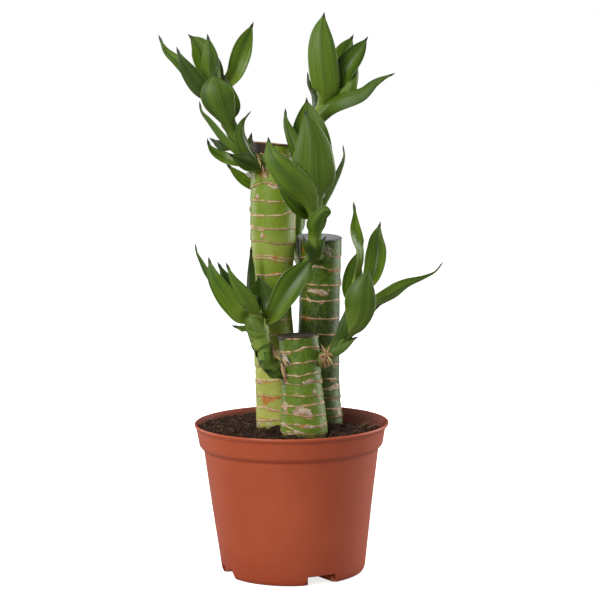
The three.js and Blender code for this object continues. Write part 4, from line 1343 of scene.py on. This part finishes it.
def stem_skin(stem, girth, sheaths):
    """A stem with a ring at each place in sheaths, narrowed to a tip."""
    length = stem[1][-1]
    share = np.linspace(0, 1, int(length / STEM_PITCH))
    middle, heading = along(stem, share)
    turn = full_turn(STEM_SIDES)
    facing = turned_face(middle, heading, np.zeros(len(share)))
    side = np.cross(heading, facing)
    seam = np.zeros((len(share), STEM_SIDES))
    swell = np.zeros_like(seam)
    for i, at in enumerate(sorted(sheaths)):
        off = (share[:, None] - at) * length - SEAM_SLANT * np.cos(turn + i * 2.6)
        ring = np.exp(-((off / SEAM_HALF) ** 2))
        seam = np.maximum(seam, ring)
        swell += SEAM_SWELL * ring
    radius = between(girth, share)[:, None] + swell - UNDER_SHEATH
    tip = smooth(1 - share, 0, 0.03)[:, None]
    radius = radius * mix(0.3, 1, tip)
    rings = middle[:, None] + facing[:, None] * (radius * np.cos(turn))[..., None]
    rings = rings + side[:, None] * (radius * np.sin(turn))[..., None]
    swirl = np.stack([np.broadcast_to(np.cos(turn), seam.shape), np.broadcast_to(np.sin(turn), seam.shape),
                      np.repeat(share[:, None] * length / STREAK, STEM_SIDES, 1)], -1)
    return skin(rings, {"seam": seam, "swirl": swirl, "share": np.repeat(share[:, None], STEM_SIDES, 1)})


# %% [markdown]
# ### Glossy leaf and fleshy stem
#
# The blade is mid-green with lengthwise bands, paler and yellower near its base, nearly black in the
# thread at its tip, and has a thin pale margin. Its underside is duller and lighter. The marks on
# the mesh give the place across and along the blade, so the bands follow every bend.

# %% The leaves' material
def leaf_nodes(tree):
    blade = mark(tree, "blade", vector=True)
    part = put(tree, "ShaderNodeSeparateXYZ", {0: blade}).outputs
    lines = use(tree, LINES, Place=blade, Lines=2.6, Drift=0.7)
    grain = use(tree, PITS, Place=here(tree), Scale=700.0)
    across, free = reckon(tree, "ABSOLUTE", part[0]), mark(tree, "free")
    stops = [
        (0.0, paint(162, 176, 88)), (0.15, paint(132, 151, 52)), (0.32, paint(94, 122, 26)),
        (0.6, paint(69, 100, 18)), (1.0, paint(42, 70, 20)),
    ]
    colour = ramp(tree, part[1], stops)
    colour = blend(tree, stretch(tree, free, 0.35, 0.0, 0.0, 0.75), colour, paint(152, 168, 78))
    light_band = reckon(tree, "MULTIPLY", stretch(tree, across, 0.12, 0.4), stretch(tree, across, 0.85, 0.6))
    light_band = reckon(tree, "MULTIPLY", light_band, free)
    colour = tint(tree, colour, light_band, 0.42, paint(120, 150, 34))
    colour = tint(tree, colour, lines["Bands"], 0.62, paint(118, 148, 34))
    colour = tint(tree, colour, lines["Hairlines"], 0.42, paint(34, 60, 14))
    # The tone darkens the whole leaf: partly its own colour, partly painted shade on leaves in shadow and
    # painted light on lit ones.
    shade = blend(tree, mark(tree, "tone"), paint(120, 136, 110), paint(255, 255, 255))
    colour = blend(tree, 1.0, colour, shade, "MULTIPLY")
    under = reckon(tree, "SUBTRACT", 1.0, mark(tree, "upper"))
    colour = tint(tree, colour, under, 0.15, paint(104, 134, 56))
    midrib = reckon(tree, "MULTIPLY", stretch(tree, across, 0.09, 0.0, 0.0, 0.22), free)
    colour = blend(tree, midrib, colour, paint(44, 78, 22))
    colour = blend(tree, stretch(tree, across, 0.93, 1.0, 0.0, 0.35), colour, paint(150, 168, 92))
    colour = blend(tree, stretch(tree, mark(tree, "to_tip"), 5.0, 2.0, 0.0, 0.88), colour, paint(32, 42, 25))
    rough = blend_value(tree, under, mix_values(tree, grain["Mottle"], 0.3, 0.4), 0.45)
    height = reckon(tree, "ADD", lines["Hairlines"], reckon(tree, "MULTIPLY", grain["Mottle"], 0.3))
    return {"Base Color": colour, "Roughness": rough, "Normal": bump(tree, height, 0.25, 0.2)}


LEAF = finish_material("glossy_leaf", leaf_nodes, Specular_IOR_Level=0.26)


# %% The stems' material
def stem_nodes(tree):
    lines = use(tree, LINES, Place=mark(tree, "swirl", vector=True), Lines=3.0, Drift=0.8)
    grain = use(tree, PITS, Place=here(tree), Scale=900.0)
    stops = [(0.0, paint(112, 134, 50)), (0.5, paint(118, 146, 50)), (1.0, paint(88, 132, 30))]
    colour = ramp(tree, mark(tree, "share"), stops)
    colour = tint(tree, colour, lines["Bands"], 0.35, paint(76, 108, 36))
    colour = tint(tree, colour, lines["Hairlines"], 0.25, paint(140, 168, 90))
    colour = tint(tree, colour, mark(tree, "seam"), 0.5, paint(150, 160, 90))
    rough = mix_values(tree, grain["Mottle"], 0.34, 0.46)
    return {"Base Color": colour, "Roughness": rough, "Normal": bump(tree, lines["Hairlines"], 0.2, 0.2)}


STEM = finish_material("fleshy_stem", stem_nodes, Specular_IOR_Level=0.35)


# %% Grow a shoot
LEAF_NUMBERS = itertools.count(1)


def grow(name, stem, radius, leaves):
    """A shoot's stem and its leaves, one piece each, in place of the shoot's solid."""
    line = trace([seen(*place) for place in stem])
    blades = [leaf(line, radius, next(LEAF_NUMBERS), **spec) for spec in leaves]
    make_piece(name + "_leaves", together(blades), LEAF, name)
    make_piece(name + "_stem", stem_skin(line, radius, [spec["at"] for spec in leaves]), STEM, name)


# %% [markdown]
# ### The shoot at the left of the tall cane
#
# It leaves the cane below its cut, leans out to the left and ends in a fan of pointed leaves, with
# smaller ones along its stem.

# %% The shoot at the left of the tall cane
grow(
    "shoot_tall_left",
    stem=[[262, 168, 3], [254, 163, -6], [246, 153, -11], [239, 142, -12], [233, 130, -13], [228, 118, -13],
          [223, 106, -12], [218, 95, -11], [214, 84, -10]],
    radius=[(0, 4.8), (0.3, 4.8), (0.7, 4.4), (1, 1.6)],
    leaves=[
        dict(at=0.1, width=12, face=[180, 165], places=[[240, 159, -22], [228, 153.5, -26]]),
        dict(at=0.14, width=8, face=[40, 20, 30], widest=0.5, tone=0.7, pale=1.5,
             places=[[237, 162.5, -12], [224, 157.5, -10], [214, 152, -10], [209.5, 146.5, -10],
                     [207.2, 138.4, -10]]),
        dict(at=0.3, width=8, face=[10, 10], tone=0.2, places=[[221, 145, -2], [209.5, 138, 2]]),
        dict(at=0.22, width=11, face=[195, 248], widest=0.28, tone=0.7,
             places=[[242, 137, -20], [243, 123, -19], [251, 111, -18]]),
        dict(at=0.25, width=9.5, face=[120, 130], widest=0.3, neck=1.0, tone=0.7, pale=1.3,
             places=[[231, 149, -17], [220.9, 138.3, -15], [208.2, 121.5, -13], [201.2, 111.5, -12],
                     [199.4, 101.2, -12]]),
        dict(at=0.46, width=20.8, widest=0.68, face=[180, 180], fold=10, neck=0.28, tone=0.6,
             places=[[225, 113, -26], [218, 97, -30], [215.5, 85, -29], [216, 72, -24]]),
        dict(at=0.56, width=9.5, face=[60, 30], places=[[233, 108, -8], [230, 92, -5], [222.5, 73, -6]]),
        dict(at=0.68, width=12.5, face=[60, 40], tone=0.95,
             places=[[193, 83, -4], [176, 62, 0], [165, 50, 3], [158.5, 35, 4]]),
        dict(at=0.72, width=12.5, widest=0.5, face=[165, 150], tone=0.1,
             places=[[200.5, 90, -22], [189.3, 74.5, -24], [181.2, 60.5, -25], [176.5, 47, -24]]),
        dict(at=0.8, width=15.5, widest=0.68, face=[0, 8], neck=0.4, tone=0.9, pale=1.7,
             places=[[209.5, 80, 2], [205.5, 62, 5], [200, 47, 7], [188, 34, 8]]),
        dict(at=0.84, width=13.5, face=[180, 180], fold=30, tone=0.6, pale=1.3,
             places=[[211, 73, -14], [210, 55, -15], [207.5, 34, -12]]),
        dict(at=0.88, width=9.5, face=[0, 0], tone=1.0, pale=1.8, places=[[216.5, 70, -2], [213, 47, -1]]),
        dict(at=0.82, width=13, widest=0.62, face=[0, 12], neck=0.45, tone=1.0, pale=1.7,
             places=[[234, 73.5, 1], [239.6, 57.5, 3], [245, 41.6, 5], [253.5, 22, 6]]),
    ],
)

# %% [markdown]
# ### The small shoot behind the tall cane
#
# Only two of its leaves show, beside the cane's top. The ones at the back are made up, so that the
# plant is finished there.

# %% The small shoot behind the tall cane
grow(
    "shoot_tall_back",
    stem=[[266, 194, 14], [260, 186, 23], [256, 176, 28], [255, 164, 31], [257, 153, 31]],
    radius=[(0, 4.6), (0.5, 4), (1, 1.5)],
    leaves=[
        dict(at=0.28, width=8.2, face=[20, 0], tone=1.0, pale=1.7, places=[[243, 179, 27], [226, 163.5, 24]]),
        dict(at=0.75, width=8.5, face=[0, 0], places=[[250, 145, 34], [251.6, 132.4, 35]]),
        dict(at=0.4, width=11, face=[90, 60], places=[[276, 174, 48], [290, 167, 62]]),
        dict(at=0.6, width=11, face=[60, 60], places=[[262, 164, 48], [268, 156, 66]]),
    ],
)

# %% [markdown]
# ### The long shoot behind the middle cane
#
# The tallest shoot climbs behind the middle cane and the front shoot, and opens high up. One broad
# leaf stands upright, and one long leaf reaches out to the right.

# %% The long shoot behind the middle cane
grow(
    "shoot_middle_back",
    stem=[[305, 268, 20], [299, 256, 33], [297, 240, 38], [297.5, 222, 39], [300, 204, 38], [304, 184, 36],
          [308, 162, 34], [313, 140, 32], [318, 121, 30], [322, 107, 29], [326, 95, 29], [329, 83, 29]],
    radius=[(0, 4.6), (0.2, 4.3), (0.8, 4.3), (1, 1.6)],
    leaves=[
        dict(at=0.2, width=11, face=[70, 60], places=[[300, 226, 52], [306, 212, 64]]),
        dict(at=0.42, width=13, face=[20, 30], places=[[310, 176, 50], [316, 158, 62]]),
        dict(at=0.56, width=11, face=[0, 0], places=[[303, 150, 42], [303, 130, 46]]),
        dict(at=0.78, width=15, widest=0.5, face=[180, 140, 128, 134], tone=0.4, drawn=1.5,
             places=[[331, 105.5, 18], [345, 97.3, 15], [360, 92.2, 14], [374, 81.8, 15], [395, 73.2, 18]]),
        dict(at=0.8, width=8, face=[60, 50], tone=0.1,
             places=[[313, 96, 34], [308.5, 84, 36], [307.5, 72, 38]]),
        dict(at=0.85, width=19, face=[180, 180], gutter=50, fold=4, neck=0.8, drawn=2.8, tone=0.8, pale=1.3,
             places=[[326, 92, 18], [323.5, 68, 14], [321.5, 45, 14], [321.5, 30, 16], [324.3, 12.2, 20]]),
        dict(at=0.88, width=16, widest=0.62, face=[0, 0], neck=0.85, tone=1.0, pale=1.6,
             places=[[338, 92, 38], [341.5, 74, 42], [343.5, 55, 45], [353.5, 34.5, 48]]),
        dict(at=0.84, width=12, widest=0.3, face=[180, 180], neck=1.0, drawn=1.1, tone=1.0, pale=1.5,
             places=[[340, 98.5, 22], [349.3, 91, 20], [352.6, 83, 20], [355.5, 74, 23], [357.3, 63, 34]]),
        dict(at=0.9, width=15.5, widest=0.6, face=[-20, -20], fold=24,
             places=[[339, 86, 26], [346, 70, 24], [356, 55, 25], [368, 36.5, 28]]),
        dict(at=0.9, width=13, face=[0, 0], places=[[324, 60, 48], [321, 32, 54]]),
    ],
)

# %% [markdown]
# ### The shoot in front of the middle cane
#
# A short stem carries the broadest leaves of the plant. They stand close round each other like a
# bud that has just opened.

# %% The shoot in front of the middle cane
grow(
    "shoot_middle_front",
    stem=[[316, 260, 8], [315, 252, -2], [314.5, 243, -8], [315, 232, -11], [315.5, 220, -12],
          [316, 208, -12], [316, 197, -11]],
    radius=[(0, 4.6), (0.3, 4.6), (0.8, 4.2), (1, 1.6)],
    leaves=[
        dict(at=0.2, width=8, face=[150, 150], places=[[306, 245, -15], [303, 236, -14]]),
        dict(at=0.24, width=8, face=[220, 220], places=[[322, 245, -12], [326, 236, -10]]),
        dict(at=0.5, width=13, face=[190, 200], blunt=8.5, tone=0.8,
             places=[[318, 221, -22], [324, 213, -24], [331, 211.5, -24]]),
        dict(at=0.62, width=11, face=[30, 10], places=[[297, 207, -17], [276, 181, -15]]),
        dict(at=0.66, width=17.5, widest=0.5, face=[170, 175], gutter=60, fold=6, neck=0.55, tone=0.75,
             pale=1.6, places=[[303.5, 192, -30], [286.7, 174.5, -37], [272, 156.5, -37], [268, 137, -30]]),
        dict(at=0.74, width=9, face=[240, 246], tone=1.0,
             places=[[334, 187, -12], [341, 171, -11], [344.5, 157, -11], [343, 145, -12]]),
        dict(at=0.74, width=28, face=[192, 190], gutter=60, fold=3, neck=0.38, pale=1.3,
             places=[[315.5, 192, -26], [314.3, 170, -30], [313.8, 148, -28], [309.5, 125, -24],
                     [304, 110, -20]]),
        dict(at=0.8, width=14, face=[150, 150], fold=26, tone=0.9,
             places=[[299, 160, -10], [289.6, 135, -8], [285.5, 121, -8], [285.4, 108.3, -8]]),
        dict(at=0.82, width=26.2, widest=0.5, face=[0, 0], drawn=2.5, tone=0.8,
             places=[[315, 172, -3], [311.3, 145, 0], [308.5, 122, 1], [306.4, 97.3, 2]]),
    ],
)

# %% [markdown]
# ### The shoot at the left of the short cane
#
# It leaves the cane to the left, turns sharply upwards in a dark cup, and carries its leaves high
# and to both sides.

# %% The shoot at the left of the short cane
grow(
    "shoot_short_left",
    stem=[[286, 371, -20], [278, 371, -24], [270.5, 366, -28], [265.5, 357, -30], [263, 347, -30],
          [260, 337, -30], [257, 326, -29], [255, 315, -28], [254, 304, -27]],
    radius=[(0, 4.2), (0.25, 5), (0.5, 5.3), (0.6, 6.3), (0.72, 6.6), (0.85, 5), (1, 1.6)],
    leaves=[
        dict(at=0.1, width=9, face=[200, 190], tone=0.3, places=[[272, 373, -34], [264.2, 369.5, -36]]),
        dict(at=0.34, width=5, face=[50, 80], tone=0.1, pale=0.6, sheath=4, foot=0.3,
             places=[[254.4, 350.6, -32.5], [250.8, 345, -32.5]]),
        dict(at=0.3, width=8, face=[205, 250], places=[[270, 346, -30], [269, 333, -30]]),
        dict(at=0.6, width=6, face=[130, 30, 10], tone=0.9, places=[[244, 329.5, -28], [231.5, 325.5, -27]]),
        dict(at=0.7, width=11, face=[122, 118],
             places=[[235, 310, -24], [207, 275, -20], [200.9, 263, -19], [196.4, 252.5, -18.5],
                     [195.2, 243.6, -18]]),
        dict(at=0.72, width=12.8, widest=0.58, face=[-20, -10], neck=0.36, tone=0.9, pale=1.9,
             places=[[240.5, 315.5, -35], [233.2, 306, -37], [223, 291.3, -38], [213.6, 276, -38],
                     [208.5, 257, -36]]),
        dict(at=0.75, width=11, face=[0, 0], places=[[236, 296, -26], [217.5, 262, -24]]),
        dict(at=0.8, width=12.5, face=[150, 158], tone=1.0, pale=2.2, neck=0.95, drawn=1.3, sheath=13,
             places=[[249, 308, -42], [242, 294, -48], [233, 279.3, -50], [226, 262.5, -49]]),
        dict(at=0.84, width=19, widest=0.5, face=[0, 0], tone=0.25,
             places=[[262, 306, -18], [261, 292, -16], [258, 275, -15]]),
        dict(at=0.68, width=17.5, widest=0.64, face=[-14, 0], fold=28, neck=0.42, tone=0.85, pale=1.5,
             places=[[273, 315, -29], [281.5, 301, -30], [291.8, 284, -30], [302.3, 269.5, -29],
                     [312, 258, -28]]),
        dict(at=0.84, width=8, face=[40, 40], fold=26,
             places=[[249.5, 288, -15], [250, 268, -13], [251, 246, -13]]),
    ],
)

# %% [markdown]
# ### The shoot at the right of the short cane
#
# It grows out to the right from a star of dried sheath. One leaf reaches far out, and the youngest
# stands upright, rolled and twisted.

# %% The shoot at the right of the short cane
grow(
    "shoot_short_right",
    stem=[[316, 363, -20], [325, 358, -22], [333, 351, -24], [340, 341, -25], [345.5, 329, -26],
          [349.5, 317, -27], [353, 304, -28], [356, 292, -28], [358, 281, -28]],
    radius=[(0, 4.6), (0.4, 4.5), (0.8, 4), (1, 1.6)],
    leaves=[
        dict(at=0.14, width=10, face=[160, 150], places=[[345, 343, -29], [358.5, 336.5, -29]]),
        dict(at=0.3, width=10, face=[150, 140], neck=1.0, tone=0.2,
             places=[[343.5, 325, -33], [346.6, 305.5, -32]]),
        dict(at=0.34, width=6, face=[240, 240], places=[[363, 323, -26], [381.5, 303.5, -24]]),
        dict(at=0.32, width=20.3, widest=0.6, face=[192, 184], gutter=60, neck=0.38, pale=2.4, tone=0.6,
             blunt=6.5, places=[[355.6, 324, -37], [360.2, 311, -40], [361.6, 297, -42], [364.6, 283, -41],
                                [368.8, 270.8, -38]]),
        dict(at=0.55, width=10.8, widest=0.55, face=[215, 212, 214, 238, 256], neck=0.5, drawn=1.1, tone=1.0,
             pale=1.9, places=[[378, 301.5, -20], [391, 293.9, -18], [406, 285, -16.5], [424, 278.3, -14],
                               [435.5, 271.8, -13], [443, 262, -12]]),
        dict(at=0.62, width=14, face=[0, 0], places=[[352.8, 282, -16], [354.6, 266, -14], [360, 248, -12]]),
        dict(at=0.75, width=14.5, widest=0.58, face=[-10, -10], fold=26, tone=0.9, pale=1.4,
             places=[[372, 276, -18], [377, 252, -14], [377, 238, -13], [380.5, 221.5, -12]]),
        dict(at=0.88, width=12, widest=0.57, face=[60, 64, 66, 10, 40], tone=1.0, pale=2.1, drawn=0.9,
             places=[[357.8, 258, -30], [356.3, 240, -31], [355, 228, -30], [354.5, 212, -30],
                     [353.5, 202, -29]]),
    ],
)

# %% [markdown]
# ## Dried bits
#
# Where a shoot breaks out, the old sheath it split dries to papery, straw-coloured scales. A star of
# them sits at the foot of the right shoot, a torn collar clings to the short cane's left side, and
# grey rags and thin threads hang at the cuts. They are small, yet they tell the eye that this is a
# real plant. Each is a thin tapering ribbon with a slightly cupped section, laid over the skin that
# carries it.

# %% A papery scale
SCALE_ROWS = 14
SCALE_SIDES = 10


def scale(width, tone, places, thick=0.28, point=0.12):
    """A ribbon through places in the picture, widest a third of the way, with a ragged outline."""
    line = trace([seen(*place) for place in places])
    share = np.linspace(0, 1, SCALE_ROWS)
    middle, heading = along(line, share)
    facing = turned_face(middle, heading, np.zeros(SCALE_ROWS))
    side = np.cross(heading, facing)
    ragged = 1 + 0.35 * ripple(middle, 0.8, tone * 9)
    half = width / 2 * mix(0.55, 1, smooth(share, 0, 0.3)) * mix(1, point, smooth(share, 0.35, 1.0)) * ragged
    turn = full_turn(SCALE_SIDES)
    out = half[:, None] * np.cos(turn)
    up = thick / 2 * np.sin(turn) - 0.25 * half[:, None] * np.cos(turn) ** 2
    rings = middle[:, None] + side[:, None] * out[..., None] + facing[:, None] * up[..., None]
    swirl = np.stack([np.broadcast_to(np.cos(turn), out.shape), np.repeat(share[:, None], SCALE_SIDES, 1),
                      np.full(out.shape, tone)], -1)
    return skin(rings, {"tone": np.full(out.shape, tone), "swirl": swirl})


# %% Brown, straw, yellow-green and grey paper
def paper_nodes(tree):
    lines = use(tree, LINES, Place=mark(tree, "swirl", vector=True), Lines=4.0, Drift=1.0)
    grain = use(tree, PITS, Place=here(tree), Scale=1600.0)
    stops = [
        (0.0, paint(88, 54, 36)), (0.35, paint(172, 120, 76)), (0.6, paint(212, 178, 124)),
        (0.8, paint(186, 194, 100)), (1.0, paint(196, 194, 184)),
    ]
    colour = ramp(tree, mark(tree, "tone"), stops)
    colour = tint(tree, colour, lines["Hairlines"], 0.4, paint(120, 84, 54))
    colour = tint(tree, colour, grain["Mottle"], 0.2, paint(226, 214, 190))
    rough = mix_values(tree, grain["Mottle"], 0.6, 0.85)
    return {"Base Color": colour, "Roughness": rough, "Normal": bump(tree, lines["Hairlines"], 0.4, 0.2)}


PAPER = finish_material("dried_sheath", paper_nodes, Specular_IOR_Level=0.3)

# %% The star at the foot of the right shoot
STAR = (326.8, 353.2, -29.4)
star = [
    scale(1.5, 0.44, [STAR, (323.6, 348.6, -29.0), (320.6, 343.8, -28.2)]),
    scale(1.3, 0.48, [STAR, (328.6, 349, -29.8), (330.4, 344.2, -29.8)]),
    scale(1.4, 0.4, [STAR, (331, 354.6, -29.8), (335.0, 357.2, -29.6)]),
    scale(1.8, 0.42, [STAR, (322.6, 355, -28.8), (318.8, 357.4, -28.0)]),
    scale(1.8, 0.72, [STAR, (330.2, 360, -28.6), (334.6, 367.2, -27.4)]),
    scale(1.5, 0.34, [STAR, (325.4, 357, -29.0), (323.6, 362.4, -28.2)]),
    scale(1.3, 0.2, [(325.2, 351.4, -29.9), STAR, (328.4, 355.6, -29.9)]),
    scale(3.0, 0.3, [(319.6, 354, -26.6), (322.8, 358.8, -27.2), (325, 364.4, -26.4), (325.4, 369.4, -24.6)]),
    scale(2.4, 0.42, [(324.4, 355.6, -27.8), (328.2, 361.2, -27.4), (329.2, 366.6, -25.8)]),
    scale(2.0, 0.12, [(318.4, 358.6, -25.4), (320.8, 364, -25.6), (322, 368.4, -25)]),
]
make_piece("dried_star", together(star), PAPER)

# %% The torn collar on the short cane
collar = [
    scale(2.6, 0.4, [(270.4, 343.4, -27.5), (272.4, 350, -28.6), (276, 356.4, -29.6), (281, 361.6, -31.4)]),
    scale(1.5, 0.1, [(272.6, 343.8, -26.5), (275.4, 350.6, -27.8), (279.6, 356.8, -30.0), (283, 360, -31.8)]),
    scale(2.6, 0.8, [(275.4, 349.6, -27.2), (278.2, 355.4, -29.0), (280.6, 360.6, -30.6)]),
    scale(2.2, 0.5, [(281.6, 363, -31.0), (282.6, 370, -31.2), (283.8, 376, -31.6), (285.4, 381, -32.2)]),
    scale(2.0, 0.95, [(283.4, 354.6, -31.4), (286.6, 359.4, -32.6), (290.4, 363.6, -33.6)]),
    scale(1.7, 0.6, [(282.8, 357.4, -31.4), (285, 362.4, -32.4), (286.6, 367.4, -33.0)]),
]
make_piece("dried_collar", together(collar), PAPER)

# %% Rags at the cuts and threads of wax
rags = [
    scale(3.2, 0.97, [(246.2, 173.4, 2.5), (250, 175.2, -0.5), (254.6, 178.4, -3.4)]),
    scale(1.1, 1.0, [(243.6, 137, -19.0), (249, 149, -17.6), (256.6, 159.4, -14.6)]),
    scale(1.3, 0.7, [(257.6, 157.6, -11.8), (260, 163.2, -11.6), (261, 168.4, -11.2)]),
    scale(1.5, 0.3, [(262.6, 165.4, -10.6), (263.6, 171.6, -10.2), (265.6, 176.8, -9.8)]),
    scale(1.7, 0.5, [(256.6, 153.2, -8.6), (258.6, 157.4, -9.4), (262.4, 160.4, -9.6)]),
    scale(1.6, 1.0, [(327.2, 244.6, 3.0), (328.6, 250.2, 2.6), (331.6, 256.4, 2.4)]),
    scale(1.1, 0.95, [(325.4, 246.4, 2.6), (325.8, 252, 2.2), (324.4, 257.4, 2.0)]),
    scale(1.0, 0.9, [(329.4, 247.6, 2.8), (333, 251.4, 2.8), (335.2, 255.6, 3.0)]),
]
threads = [
    [(314.2, 334, -31.0), (316.4, 340, -31.4), (317.6, 347, -31.2)],
    [(296.2, 238.6, 8.2), (296.8, 250, 7.8), (297.2, 262, 7.4)],
    [(299.4, 237.8, 5.2), (299.8, 246, 5.0), (300, 256.6, 4.8)],
    [(275.2, 142.4, -6.0), (277.6, 149.6, -6.9), (278.4, 156, -7.1)],
]
torn_rim = [
    (253.6, 142.6, -0.4), (258.6, 142.2, -4.8), (267, 142.8, -7.2), (277, 144, -7), (286, 145.4, -3.4),
    (290, 146.2, 1),
]
rags += [scale(0.26, 0.97, line, thick=0.24, point=0.8) for line in threads]
rags.append(scale(0.9, 0.42, torn_rim, point=0.6))
make_piece("dried_rags", together(rags), PAPER)

# %% [markdown]
# ## The studio
#
# The plant stands on a plain pale floor that runs out of sight, in front of white. Most of the light
# is soft. A large lamp high at the left front makes the long highlight down the pot and the shine on
# the canes, a weaker one fills the right, and a low narrow strip in front brightens the pot's left.
# Two tall strips behind edge the pot and the leaves, and one lamp overhead lights the soil.
# A backdrop wall would hide the plant from behind, so the world itself is white instead.

# %% A pale round floor
STUDIO_RADIUS = 6000.0  # mm
STUDIO_SIDES = 96
STUDIO_LOW, STUDIO_TOP = -20.4, -0.4  # mm, the floor's two faces, just clear of the pot's foot


def floor_disc():
    turn = full_turn(STUDIO_SIDES)
    circle = np.stack([np.cos(turn), np.sin(turn), np.zeros_like(turn)], -1) * STUDIO_RADIUS
    return skin(np.array([circle + [0, 0, STUDIO_LOW], circle + [0, 0, STUDIO_TOP]]))


def floor_nodes(tree):
    """White to the eye, brighter with distance so that it meets the white behind, and grey to the plant."""
    place = here(tree)
    path = put(tree, "ShaderNodeLightPath").outputs["Is Camera Ray"]
    away = put(tree, "ShaderNodeVectorMath", {0: place}, operation="LENGTH").outputs["Value"]
    grain = use(tree, PITS, Place=place, Scale=300.0)
    colour = tint(tree, paint(250, 250, 250), grain["Mottle"], 0.1, paint(240, 240, 240))
    colour = blend(tree, path, paint(150, 150, 152), colour)
    glow = reckon(tree, "MULTIPLY", stretch(tree, away, 0.08, 0.6, 0.78, 1.0), path)
    return {"Base Color": colour, "Emission Color": blend(tree, glow, paint(0, 0, 0), paint(255, 255, 255))}


PALE_FLOOR = finish_material(
    "pale_floor", floor_nodes, Roughness=0.9, Specular_IOR_Level=0.1, Emission_Strength=1.0
)
floor = new_object("studio_floor", floor_disc(), PALE_FLOOR)

# %% White all round
world = bpy.data.worlds.new("white_studio")
world.use_nodes = True
bpy.context.scene.world = world
sky = world.node_tree
sky.nodes.clear()
ambient = put(sky, "ShaderNodeBackground", {"Color": paint(250, 251, 255), "Strength": 0.1})
white = put(sky, "ShaderNodeBackground", {"Color": paint(255, 255, 255), "Strength": 1.0})
path = put(sky, "ShaderNodeLightPath").outputs["Is Camera Ray"]
choice = put(sky, "ShaderNodeMixShader", {0: path, 1: ambient.outputs[0], 2: white.outputs[0]})
put(sky, "ShaderNodeOutputWorld", {"Surface": choice.outputs[0]})

# %% Soft lamps
# place in metres, width and height in metres, and power in watts; each points at the plant's middle
LAMPS = {
    "key": ((-1.02, -1.42, 1.15), 0.6, 1.1, 31.0),
    "fill": ((1.3, -1.5, 0.6), 1.0, 1.0, 1.5),
    "front_strip": ((-0.52, -1.6, 0.1), 0.2, 0.9, 4.0),
    "left_strip": ((-1.22, 0.74, 0.4), 0.3, 1.4, 12.0),
    "right_strip": ((1.3, 0.55, 0.4), 0.8, 1.4, 24.0),
    "overhead": ((0.0, 0.2, 1.9), 1.2, 1.2, 11.0),
}
AIM = Vector((0, 0, 0.16))
for name, (place, width, height, power) in LAMPS.items():
    lamp = bpy.data.lights.new(name + "_lamp", "AREA")
    lamp.shape, lamp.size, lamp.size_y, lamp.energy = "RECTANGLE", width, height, power
    stand = bpy.data.objects.new(name + "_lamp", lamp)
    towards = (AIM - Vector(place)).to_track_quat("-Z", "Y")
    stand.matrix_world = Matrix.Translation(place) @ towards.to_matrix().to_4x4()
    bpy.context.scene.collection.objects.link(stand)
    print("lamp", name, power, "W")
bpy.context.scene.view_settings.view_transform = "Standard"
